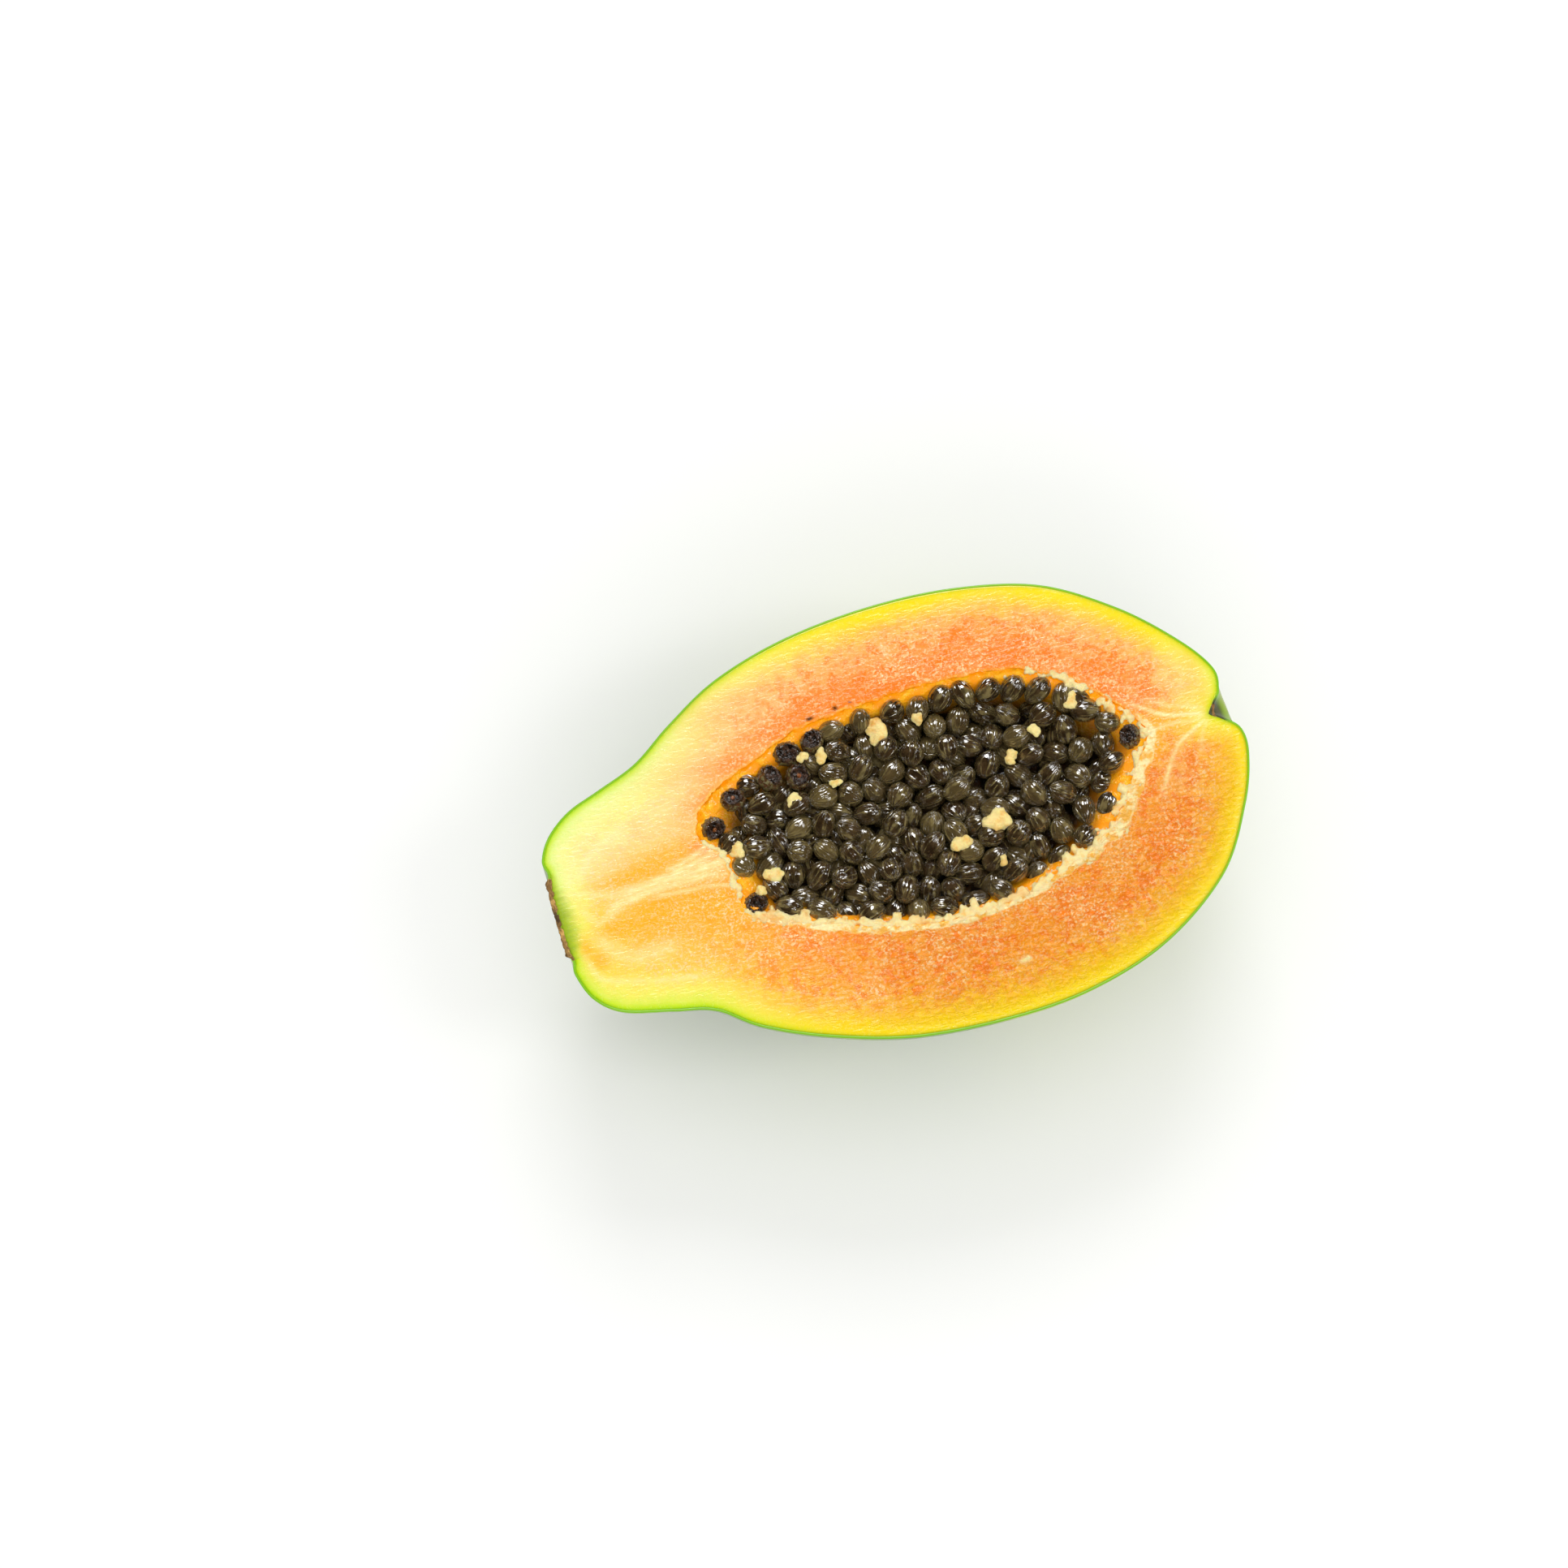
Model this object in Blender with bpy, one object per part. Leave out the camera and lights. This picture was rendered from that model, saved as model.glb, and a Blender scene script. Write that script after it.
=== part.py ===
"""Half of a ripe papaya, cut lengthwise and lying on its back with the cut face up.

The fruit half is one grown piece: green skin, orange flesh, the ragged pale pith round
the seed cavity, the corky stem scar and the dimple at the blossom end. The seeds are the
second piece: a bed of them, held together by the pulp that they stand out of.

Lengths here are millimetres. X runs from the stem end to the blossom end, +Y is the far
side and z = 0 is the cut face. At the end each object's location moves the fruit so that
it stands on its resting spot at the world's origin.
"""

import math

import bmesh
import bpy
import numpy as np
from mathutils import Matrix, Vector, noise

MM = 0.001

# The fruit's three meridians. Each row is one station on the way from the stem scar to the
# blossom pit: far edge (x, y), near edge (x, y) and back (x, depth).
MERIDIANS = (
    ((-1.0, 0.0), (-1.0, 0.0), (-1.0, 0.0)),
    ((-0.9, 5.0), (-1.2, -5.0), (-1.0, 5.0)),
    ((-0.1, 9.2), (-0.9, -9.4), (-0.5, 9.4)),
    ((0.7, 11.0), (0.2, -11.0), (0.5, 11.0)),
    ((0.3, 14.2), (-0.2, -14.0), (0.1, 14.0)),
    ((3.4, 19.2), (2.2, -20.6), (2.8, 20.0)),
    ((9.6, 23.6), (8.0, -25.6), (8.8, 24.6)),
    ((18.0, 26.4), (19.0, -28.9), (18.5, 27.4)),
    ((28.0, 29.9), (28.5, -31.8), (28.0, 30.6)),
    ((38.5, 36.5), (37.5, -38.7), (38.0, 36.4)),
    ((52.0, 43.4), (51.5, -45.6), (52.0, 43.4)),
    ((70.0, 47.9), (70.0, -51.7), (70.0, 49.6)),
    ((91.0, 49.3), (91.0, -54.4), (91.0, 51.4)),
    ((112.0, 47.6), (112.0, -54.0), (112.0, 48.9)),
    ((132.0, 42.1), (133.0, -48.7), (132.0, 42.6)),
    ((148.0, 31.2), (151.2, -37.4), (149.5, 32.6)),
    ((159.4, 19.3), (161.6, -23.0), (160.5, 20.6)),
    ((165.0, 10.4), (166.3, -12.0), (165.7, 11.0)),
    ((164.6, 4.8), (166.6, -5.6), (165.8, 5.0)),
    ((162.6, 2.2), (163.4, -1.9), (163.2, 2.0)),
    ((160.8, 0.0), (160.8, 0.0), (160.8, 0.0)),
)
STEPS_PER_STATION = 2
SKIN_SEGMENTS = 24
RIB_COUNT = 5
RIB_SWELL = 0.014
SCAR_STATION = 2
SCAR_RADIUS = 10.0
SCAR_LENGTH = 1.5
CRUST_RELIEF = 0.7
CRUST_GRAIN = 0.55

# The resting spot: how far below the cut face the back is flattened, and the point over it
# that the fruit balances on, measured on the finished solids.
SEAT_DEPTH = 49.8
BALANCE_X = 87.5
BALANCE_Y = -2.2

# The cavity's edge on the cut face, anticlockwise from its stem end.
CAVITY_RIM = (
    (41.4, -5.5),
    (42.9, -13.2),
    (52.6, -17.4),
    (64.4, -22.4),
    (78.2, -26.7),
    (92.0, -28.6),
    (105.5, -27.8),
    (118.0, -24.4),
    (127.5, -20.4),
    (134.2, -14.8),
    (139.4, -7.4),
    (145.2, 0.4),
    (139.0, 10.8),
    (130.0, 19.6),
    (118.0, 25.0),
    (104.0, 27.0),
    (90.0, 27.3),
    (76.0, 27.0),
    (64.0, 25.5),
    (54.0, 22.0),
    (45.0, 18.6),
    (38.3, 13.4),
    (37.0, 8.0),
    (40.6, 2.5),
)
CAVITY_MIDDLE = (92.0, -1.5)
CAVITY_DEPTH = 26.5
CAVITY_SEGMENTS = 76
RIM_STEPS = 12
LID_RISE = 0.5
BOWL_ANGLES = (0.0, 10.0, 24.0, 42.0, 60.0, 76.0)
BOWL_FULLNESS = 0.7
RAGGED_EDGE = 0.7
RAGGED_SCALE = 3.2

# The band of pith round the cavity, which stands a little proud of the flesh.
PITH_BAND = 1.5
PITH_BAND_BLOSSOM = 3.0
PITH_BLOSSOM_REACH = 50.0
PITH_WANDER = 7.0
PITH_PROUD = 0.45
PITH_SUNK = 2.5

# Shreds of pith that stand in from the cavity's wall among the seeds.
SHRED_COUNT = 34
SHRED_FIRST, SHRED_LAST = -172.0, 48.0
SHRED_SIZE = (1.9, 1.5, 1.7)
SHRED_REACH = 0.7
SHRED_SHIFT = 0.3
SHRED_STRETCH = (0.2, 1.6)
SHRED_TURN = 0.6
SHRED_HEIGHT = (-2.0, -0.7)
SHRED_GRADE = (0.7, 1.15)
LUMP_ROUGHNESS = 0.35
LUMP_GRAIN = 1.7

# The seeds, and the pulp that holds them.
SEED_COUNT = 168
SEED_LENGTH = (6.4, 7.6)
SEED_WIDTH = (5.2, 5.9)
SEED_SEGMENTS, SEED_RINGS = 7, 4
SEED_LEVEL_RIM = -2.6
SEED_LEVEL_MIDDLE = -4.4
SEED_STRAY = 1.1
SUNK_SHARE = 0.4
SUNK_BY = (1.6, 3.4)
SEED_HIGHEST = 0.6
SEED_STEEPEST = 0.75
SETTLING_STEPS = 220
PUSH_SHARE = 0.22
RISE_SHARE = 0.25
PULP_BELOW_SEEDS = 0.9
PULP_SEGMENTS = 32
PULP_LID_SHARES = (0.86, 0.62, 0.34)
CLEARANCE = 0.35
SHRED_CLEARANCE = 0.5
PULP_INSET = 0.6
CUTTER_TOP = 6.0
CRUMBS = ((51.0, -5.2), (70.4, 18.5), (84.5, 20.2), (95.3, -11.4), (104.5, -9.2), (113.1, 4.8))
CRUMB_SIZE = (2.5, 1.8, 1.5)
CRUMB_RISE = 2.0
LAYOUT_DRAW = 11

# The seeds that stay put, high against the cavity's edge: four on their own, then the row
# along the far side from the stem end to the blossom end.
RIM_SEEDS = (
    (40.8, 9.7),
    (47.4, 14.9),
    (44.9, -10.4),
    (141.4, 0.8),
    (57.1, 17.2),
    (62.8, 21.6),
    (63.6, 15.6),
    (69.4, 22.6),
    (74.6, 18.6),
    (81.8, 23.8),
    (89.6, 23.9),
    (95.6, 22.6),
    (101.4, 23.4),
    (107.0, 22.6),
    (112.8, 21.9),
    (118.4, 20.4),
    (124.0, 18.2),
    (129.4, 14.6),
    (133.4, 10.2),
    (137.4, 5.8),
    (135.2, -3.6),
)

# Colour and roughness of each finish.
FINISHES = {
    "skin_green": ((0.17, 0.34, 0.02), 0.35),
    "flesh_orange": ((0.95, 0.36, 0.04), 0.4),
    "pith_cream": ((0.9, 0.68, 0.3), 0.6),
    "scar_cork": ((0.3, 0.2, 0.07), 0.8),
    "seed_dark": ((0.035, 0.032, 0.016), 0.25),
}
SHARP_EDGE = math.radians(35)

# What counts as facing up, and as on the cut face, when a face is given its finish.
FACING_UP = 0.05
CUT_FACE_SLACK = 0.1


def clear_scene():
    """Removes whatever the scene holds."""
    for obj in list(bpy.data.objects):
        bpy.data.objects.remove(obj)


def material(name):
    """A plain finish of the given name."""
    colour, roughness = FINISHES[name]
    made = bpy.data.materials.new(name)
    made.use_nodes = True
    made.diffuse_color = (*colour, 1.0)
    shader = made.node_tree.nodes["Principled BSDF"]
    shader.inputs["Base Color"].default_value = (*colour, 1.0)
    shader.inputs["Roughness"].default_value = roughness
    shader.inputs["Metallic"].default_value = 0.0
    return made


def object_from(name, mesh, finishes):
    """A mesh, scaled from millimetres to metres, as an object of the scene."""
    mesh.transform(Matrix.Scale(MM, 4))
    for finish in finishes:
        mesh.materials.append(material(finish))
    obj = bpy.data.objects.new(name, mesh)
    bpy.context.scene.collection.objects.link(obj)
    return obj


def mesh_of(name, points, faces):
    """A mesh of points in millimetres, with its normals made to point out."""
    mesh = bpy.data.meshes.new(name)
    mesh.from_pydata([tuple(p) for p in points], [], faces)
    form = bmesh.new()
    form.from_mesh(mesh)
    bmesh.ops.recalc_face_normals(form, faces=form.faces)
    form.to_mesh(mesh)
    form.free()
    return mesh


def smooth_through(points, steps, closed):
    """Points of a Catmull-Rom curve through the given ones, steps of them in each span."""
    points = np.asarray(points, float)
    count = len(points)
    spans = count if closed else count - 1
    made = []
    for span in range(spans):
        if closed:
            a, b, c, d = (points[(span + k) % count] for k in (-1, 0, 1, 2))
        else:
            b, c = points[span], points[span + 1]
            a = points[span - 1] if span else 2 * b - c
            d = points[span + 2] if span + 2 < count else 2 * c - b
        for step in range(steps):
            t = step / steps
            made.append(
                0.5
                * (
                    2 * b
                    + (c - a) * t
                    + (2 * a - 5 * b + 4 * c - d) * t**2
                    + (3 * b - 3 * c + d - a) * t**3
                )
            )
    if not closed:
        made.append(points[-1])
    return np.array(made)


def skin_point(station, share, angle):
    """A point of the skin. Angle 0 is the far edge, 90 degrees the back and 180 the near edge."""
    far, near, back = station
    across, down = math.cos(angle), math.sin(angle)
    side = far if across >= 0 else near
    ribs = math.cos(RIB_COUNT * angle + math.pi / 2) * down * math.sin(math.pi * share)
    swell = 1 + RIB_SWELL * ribs
    x = side[0] * across**2 + back[0] * down**2
    return Vector((x, side[1] * abs(across) * swell, -back[1] * down * swell))


def crust(point, near_scar):
    """How far the corky edge of the stem scar stands out at a point, in millimetres."""
    return near_scar * CRUST_RELIEF * noise.noise(point * CRUST_GRAIN)


def fruit_body():
    """The half fruit before its cavity is made: the skin's grid, closed by the flat cut face."""
    stations = smooth_through(MERIDIANS, STEPS_PER_STATION, closed=False)
    last = len(stations) - 1
    points, rings = [], []
    for index, station in enumerate(stations):
        near_scar = max(0.0, 1 - abs(index / STEPS_PER_STATION - SCAR_STATION))
        segments = SKIN_SEGMENTS if 0 < index < last else 0
        ring = []
        for segment in range(segments + 1):
            angle = math.pi * segment / SKIN_SEGMENTS
            point = skin_point(station, index / last, angle)
            point.x -= crust(point, near_scar)
            ring.append(len(points))
            points.append(point)
        rings.append(ring)
    faces = []
    for first, second in zip(rings, rings[1:]):
        for k in range(SKIN_SEGMENTS):
            if len(first) == 1:
                faces.append((first[0], second[k], second[k + 1]))
            elif len(second) == 1:
                faces.append((first[k], second[0], first[k + 1]))
            else:
                faces.append((first[k], second[k], second[k + 1], first[k + 1]))
    far_edge = [ring[0] for ring in rings]
    near_edge = [ring[-1] for ring in rings[1:-1]]
    faces.append(tuple(far_edge + near_edge[::-1]))
    return mesh_of("fruit_body", points, faces)


def flatten_back(obj, level):
    """Cuts the back off flat at a level, so that the fruit rests on a small flat spot."""
    form = bmesh.new()
    form.from_mesh(obj.data)
    everything = form.verts[:] + form.edges[:] + form.faces[:]
    cut = bmesh.ops.bisect_plane(
        form,
        geom=everything,
        plane_co=(0, 0, level * MM),
        plane_no=(0, 0, -1),
        clear_outer=True,
    )
    edges = [e for e in cut["geom_cut"] if isinstance(e, bmesh.types.BMEdge)]
    bmesh.ops.contextual_create(form, geom=edges)
    bmesh.ops.recalc_face_normals(form, faces=form.faces)
    form.to_mesh(obj.data)
    form.free()


def rim_outline(inset=0.0, ragged=0.0, count=CAVITY_SEGMENTS):
    """The cavity's edge as count points, moved in by inset and roughened by ragged."""
    dense = smooth_through(CAVITY_RIM, RIM_STEPS, closed=True)
    steps = np.linalg.norm(np.roll(dense, -1, axis=0) - dense, axis=1)
    along = np.concatenate([[0.0], np.cumsum(steps)])
    where = np.linspace(0, along[-1], count, endpoint=False)
    closed = np.vstack([dense, dense[:1]])
    edge = np.column_stack([np.interp(where, along, closed[:, k]) for k in (0, 1)])
    tangent = np.roll(edge, -1, axis=0) - np.roll(edge, 1, axis=0)
    tangent /= np.linalg.norm(tangent, axis=1)[:, None]
    inward = np.column_stack([-tangent[:, 1], tangent[:, 0]])
    rough = [noise.noise(Vector((x, y, 0.0)) / RAGGED_SCALE) for x, y in edge]
    return edge + inward * (inset + ragged * np.array(rough))[:, None], inward


def bed_level(share):
    """Height of the seeds' centres, from the middle of the cavity (share 0) to its edge (1)."""
    return SEED_LEVEL_MIDDLE + (SEED_LEVEL_RIM - SEED_LEVEL_MIDDLE) * share**2


def bowl(name, inset, ragged, top, segments):
    """The seed cavity's own form, closed by a flat lid at the height top.

    Where top is None the lid is the pulp's own dished surface, just below the seeds' centres.
    """
    edge, _ = rim_outline(inset, ragged, segments)
    middle = np.array(CAVITY_MIDDLE)
    depth = CAVITY_DEPTH - inset
    lid = []
    if top is None:
        top = bed_level(1.0) - PULP_BELOW_SEEDS
        lid = [(share, bed_level(share) - PULP_BELOW_SEEDS) for share in PULP_LID_SHARES]
    points = [(x, y, top) for x, y in edge]
    for angle in BOWL_ANGLES:
        turned = math.radians(angle)
        ring = middle + (edge - middle) * math.cos(turned) ** BOWL_FULLNESS
        level = min(top - LID_RISE, -depth * math.sin(turned))
        points += [(x, y, level) for x, y in ring]
    points.append((middle[0], middle[1], -depth))
    faces = []
    for ring in range(len(BOWL_ANGLES)):
        low, high = ring * segments, (ring + 1) * segments
        for k in range(segments):
            after = (k + 1) % segments
            faces.append((low + k, low + after, high + after, high + k))
    bottom, low = len(points) - 1, len(BOWL_ANGLES) * segments
    faces += [(low + k, low + (k + 1) % segments, bottom) for k in range(segments)]
    low = 0
    for share, level in lid:
        high = len(points)
        points += [(x, y, level) for x, y in middle + (edge - middle) * share]
        for k in range(segments):
            after = (k + 1) % segments
            faces.append((low + k, low + after, high + after, high + k))
        low = high
    faces.append(tuple(range(low, low + segments)))
    return mesh_of(name, points, faces)


def pith_band():
    """A plug round the cavity that stands proud of the cut face; the cavity is cut from it."""
    edge, inward = rim_outline()
    blossom = np.clip((edge[:, 0] - CAVITY_MIDDLE[0]) / PITH_BLOSSOM_REACH, 0, 1)
    rough = np.array([noise.noise(Vector((x, y, PITH_WANDER)) / RAGGED_SCALE) for x, y in edge])
    width = PITH_BAND + PITH_BAND_BLOSSOM * blossom**2 + RAGGED_EDGE * rough
    outer = edge - inward * width[:, None]
    count = len(outer)
    points = [(x, y, -PITH_SUNK) for x, y in outer] + [(x, y, PITH_PROUD) for x, y in outer]
    faces = [tuple(range(count)), tuple(range(count, 2 * count))]
    for k in range(count):
        after = (k + 1) % count
        faces.append((k, after, count + after, count + k))
    return mesh_of("pith_band", points, faces)


def lump(name, centre, size, turn, grown=0.0):
    """A small torn lump of pith: a twenty-sided ball, drawn out, roughened and turned."""
    form = bmesh.new()
    bmesh.ops.create_icosphere(form, subdivisions=1, radius=1.0)
    for vert in form.verts:
        rough = 1 + LUMP_ROUGHNESS * noise.noise(vert.co * LUMP_GRAIN + Vector(centre))
        vert.co = Vector(r * (s * rough + grown) for r, s in zip(vert.co, size))
    place = Matrix.Translation(centre) @ Matrix.Rotation(turn, 4, "Z")
    bmesh.ops.transform(form, matrix=place, verts=form.verts)
    mesh = bpy.data.meshes.new(name)
    form.to_mesh(mesh)
    form.free()
    return mesh


def shred_places():
    """Centre and turn of each shred of pith, round the near side and the blossom end."""
    edge, inward = rim_outline(0.0, RAGGED_EDGE, 8 * CAVITY_SEGMENTS)
    angles = np.degrees(np.arctan2(edge[:, 1] - CAVITY_MIDDLE[1], edge[:, 0] - CAVITY_MIDDLE[0]))
    inside = np.flatnonzero((angles > SHRED_FIRST) & (angles < SHRED_LAST))
    draw = np.random.default_rng(LAYOUT_DRAW)
    start = np.argmin(angles[inside])
    inside = np.roll(inside, -start)
    places = []
    for number in range(SHRED_COUNT):
        share = (number + 0.5 + draw.uniform(-SHRED_SHIFT, SHRED_SHIFT)) / SHRED_COUNT
        k = inside[int(share * len(inside))]
        x, y = edge[k] + inward[k] * SHRED_REACH * draw.uniform(*SHRED_STRETCH)
        turn = math.atan2(inward[k][1], inward[k][0]) + draw.uniform(-SHRED_TURN, SHRED_TURN)
        places.append(((x, y, draw.uniform(*SHRED_HEIGHT)), turn, draw.uniform(*SHRED_GRADE)))
    return places


def scattered_seeds(draw, rim, inward):
    """Places of the seeds before they settle: those along the edge, then at random."""
    low, high = rim.min(axis=0), rim.max(axis=0)
    spots = list(RIM_SEEDS)
    while len(spots) < SEED_COUNT:
        spot = draw.uniform(low, high)
        nearest = np.argmin(((rim - spot) ** 2).sum(axis=1))
        if (spot - rim[nearest]) @ inward[nearest] > SEED_WIDTH[0] / 2:
            spots.append(spot)
    return np.array(spots)


def reach_to(rim, spots):
    """How far out spots lie in the cavity: 0 at its middle and 1 at its edge."""
    away = rim - CAVITY_MIDDLE
    bearing = np.arctan2(away[:, 1], away[:, 0])
    order = np.argsort(bearing)
    offset = spots - CAVITY_MIDDLE
    limit = np.interp(
        np.arctan2(offset[:, 1], offset[:, 0]),
        bearing[order],
        np.linalg.norm(away, axis=1)[order],
        period=2 * math.pi,
    )
    return np.clip(np.linalg.norm(offset, axis=1) / limit, 0, 1)


def pushed_apart(centre, half_gap, width):
    """How far touching seeds push each seed, taken as two balls on its long axis."""
    count = len(centre)
    balls = np.vstack([centre + half_gap, centre - half_gap])
    radius, owner = np.tile(width / 2, 2), np.tile(np.arange(count), 2)
    apart = balls[:, None] - balls[None]
    distance = np.sqrt((apart**2).sum(axis=2)) + 1e-9
    overlap = np.clip(radius[:, None] + radius[None] - distance, 0, None)
    overlap[owner[:, None] == owner[None]] = 0
    push = (apart / distance[..., None] * overlap[..., None]).sum(axis=1) * PUSH_SHARE
    return push[:count] + push[count:]


def seed_layout():
    """Centres, long axes and sizes of the seeds, settled in a bed that dips to its middle."""
    draw = np.random.default_rng(LAYOUT_DRAW)
    rim, inward = rim_outline(0.0, 0.0, 4 * CAVITY_SEGMENTS)
    flat = scattered_seeds(draw, rim, inward)
    length = draw.uniform(*SEED_LENGTH, SEED_COUNT)
    width = draw.uniform(*SEED_WIDTH, SEED_COUNT)
    heading = draw.uniform(0, 2 * math.pi, SEED_COUNT)
    pitch = np.arcsin(draw.uniform(-SEED_STEEPEST, SEED_STEEPEST, SEED_COUNT))
    axis = np.column_stack(
        [np.cos(heading) * np.cos(pitch), np.sin(heading) * np.cos(pitch), np.sin(pitch)]
    )
    stray = draw.uniform(-SEED_STRAY, SEED_STRAY, SEED_COUNT)
    sunk = draw.uniform(0, 1, SEED_COUNT) < SUNK_SHARE
    stray -= sunk * draw.uniform(*SUNK_BY, SEED_COUNT)
    stray[: len(RIM_SEEDS)] = SEED_STRAY
    centre = np.column_stack([flat, bed_level(reach_to(rim, flat)) + stray])
    half_gap = axis * ((length - width) / 2)[:, None]
    for _ in range(SETTLING_STEPS):
        centre += pushed_apart(centre, half_gap, width)
        for end in (half_gap, -half_gap):
            spots = (centre + end)[:, :2]
            nearest = np.argmin(((spots[:, None] - rim[None]) ** 2).sum(axis=2), axis=1)
            wall = ((spots - rim[nearest]) * inward[nearest]).sum(axis=1)
            short = np.clip(width / 2 + CLEARANCE - wall, 0, None)
            centre[:, :2] += inward[nearest] * short[:, None]
        level = bed_level(reach_to(rim, centre[:, :2])) + stray
        centre[:, 2] += (level - centre[:, 2]) * RISE_SHARE
        over = np.abs(half_gap[:, 2]) + width / 2
        centre[:, 2] = np.minimum(centre[:, 2], SEED_HIGHEST - over)
        centre[: len(RIM_SEEDS), :2] = RIM_SEEDS
    return centre, axis, length, width


def seed_mesh(centre, axis, length, width):
    """One seed with few sides: a spindle along its long axis."""
    form = bmesh.new()
    bmesh.ops.create_uvsphere(
        form, u_segments=SEED_SEGMENTS, v_segments=SEED_RINGS, radius=0.5
    )
    stretch = Matrix.Diagonal((width, width, length, 1.0))
    turn = Vector(axis).to_track_quat("Z", "Y").to_matrix().to_4x4()
    bmesh.ops.transform(
        form, matrix=Matrix.Translation(centre) @ turn @ stretch, verts=form.verts
    )
    mesh = bpy.data.meshes.new("seed")
    form.to_mesh(mesh)
    form.free()
    return mesh


def combine(obj, operation, meshes, solver="EXACT"):
    """Joins the meshes to obj, cuts them from it or keeps what they share, in one Boolean."""
    helpers = bpy.data.collections.new("helpers")
    bpy.context.scene.collection.children.link(helpers)
    for mesh in meshes:
        mesh.transform(Matrix.Scale(MM, 4))
        helpers.objects.link(bpy.data.objects.new(mesh.name, mesh))
    modifier = obj.modifiers.new(operation.lower(), "BOOLEAN")
    modifier.operation = operation
    modifier.solver = solver
    modifier.operand_type = "COLLECTION"
    modifier.collection = helpers
    bpy.context.view_layer.objects.active = obj
    bpy.ops.object.modifier_apply(modifier=modifier.name)
    for helper in list(helpers.objects):
        bpy.data.objects.remove(helper)
    bpy.data.collections.remove(helpers)


def keep_largest(obj):
    """Drops loose scraps that a Boolean left beside the main body."""
    form = bmesh.new()
    form.from_mesh(obj.data)
    left, bodies = set(form.verts), []
    while left:
        stack, body = [left.pop()], []
        while stack:
            vert = stack.pop()
            body.append(vert)
            for edge in vert.link_edges:
                other = edge.other_vert(vert)
                if other in left:
                    left.remove(other)
                    stack.append(other)
        bodies.append(body)
    bodies.sort(key=len)
    bmesh.ops.delete(form, geom=[v for body in bodies[:-1] for v in body], context="VERTS")
    form.to_mesh(obj.data)
    form.free()


def finish_fruit_faces(obj):
    """Gives each face of the fruit half its finish: skin, flesh, pith or the scar's cork."""
    skin, flesh, pith, cork = range(4)
    rim, inward = rim_outline(-PITH_BAND - RAGGED_EDGE)
    for face in obj.data.polygons:
        x, y, z = face.center / MM
        nearest = np.argmin(((rim - (x, y)) ** 2).sum(axis=1))
        over_cavity = (np.array((x, y)) - rim[nearest]) @ inward[nearest] > 0
        faces_up = face.normal.z > FACING_UP
        if faces_up and z > -CUT_FACE_SLACK and not over_cavity:
            face.material_index = flesh
        elif over_cavity and (faces_up or z > -PITH_SUNK):
            face.material_index = pith
        elif x < SCAR_LENGTH and math.hypot(y, z) < SCAR_RADIUS:
            face.material_index = cork
        else:
            face.material_index = skin


def finish_seed_faces(obj):
    """Gives the crumbs of pith among the seeds their own finish."""
    seed, crumb = range(2)
    for face in obj.data.polygons:
        spot = np.array(face.center[:2]) / MM
        nearest = np.sqrt(((np.array(CRUMBS) - spot) ** 2).sum(axis=1)).min()
        face.material_index = crumb if nearest < CRUMB_SIZE[1] else seed


def build_fruit_half():
    """Skin, flesh, pith and scar, which grew as one piece."""
    finishes = ("skin_green", "flesh_orange", "pith_cream", "scar_cork")
    fruit = object_from("fruit_half", fruit_body(), finishes)
    combine(fruit, "UNION", [pith_band()])
    cavity = bowl("cavity", 0.0, RAGGED_EDGE, CUTTER_TOP, CAVITY_SEGMENTS)
    combine(fruit, "DIFFERENCE", [cavity])
    shreds = [
        lump("shred", place, [side * grade for side in SHRED_SIZE], turn)
        for place, turn, grade in shred_places()
    ]
    combine(fruit, "UNION", shreds, "MANIFOLD")
    flatten_back(fruit, -SEAT_DEPTH)
    keep_largest(fruit)
    finish_fruit_faces(fruit)
    return fruit


def build_seeds():
    """The bed of seeds, standing out of the pulp that holds them."""
    pulp = bowl("seeds", PULP_INSET, 0.0, None, PULP_SEGMENTS)
    seeds = object_from("seeds", pulp, ("seed_dark", "pith_cream"))
    centre, axis, length, width = seed_layout()
    parts = [seed_mesh(*one) for one in zip(centre, axis, length, width)]
    for number, (x, y) in enumerate(CRUMBS):
        nearest = np.argmin(((centre[:, :2] - (x, y)) ** 2).sum(axis=1))
        height = min(centre[nearest, 2] + CRUMB_RISE, SEED_HIGHEST - CRUMB_SIZE[2])
        place = (x, y, height)
        parts.append(lump("crumb", place, CRUMB_SIZE, float(number)))
    combine(seeds, "UNION", parts, "MANIFOLD")
    room = bowl("room", CLEARANCE, RAGGED_EDGE, CUTTER_TOP, CAVITY_SEGMENTS)
    combine(seeds, "INTERSECT", [room])
    cleared = [
        lump("cleared", place, [side * grade for side in SHRED_SIZE], turn, SHRED_CLEARANCE)
        for place, turn, grade in shred_places()
    ]
    combine(seeds, "DIFFERENCE", cleared, "MANIFOLD")
    keep_largest(seeds)
    finish_seed_faces(seeds)
    return seeds


def main():
    """Builds both pieces and sets them down on the resting spot."""
    clear_scene()
    for obj in (build_fruit_half(), build_seeds()):
        obj.location = (-BALANCE_X * MM, -BALANCE_Y * MM, SEAT_DEPTH * MM)
        obj.data.shade_smooth()
        obj.data.set_sharp_from_angle(angle=SHARP_EDGE)


main()
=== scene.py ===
"""The look of a papaya half: skin, wet flesh, pith, scars, and a cavity full of seeds.

Shapes are worked out in the fruit's own millimetres: X runs from the stem end to the
blossom end, +Y is the far side and z = 0 is the cut face. FruitForm.to_world sets them in
the frame.
"""

import logging
import math
from collections.abc import Callable, Iterator, Sequence
from contextlib import contextmanager
from dataclasses import dataclass
from enum import Enum

import bpy
import numpy as np
from mathutils import Matrix, Vector, kdtree, noise


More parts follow.
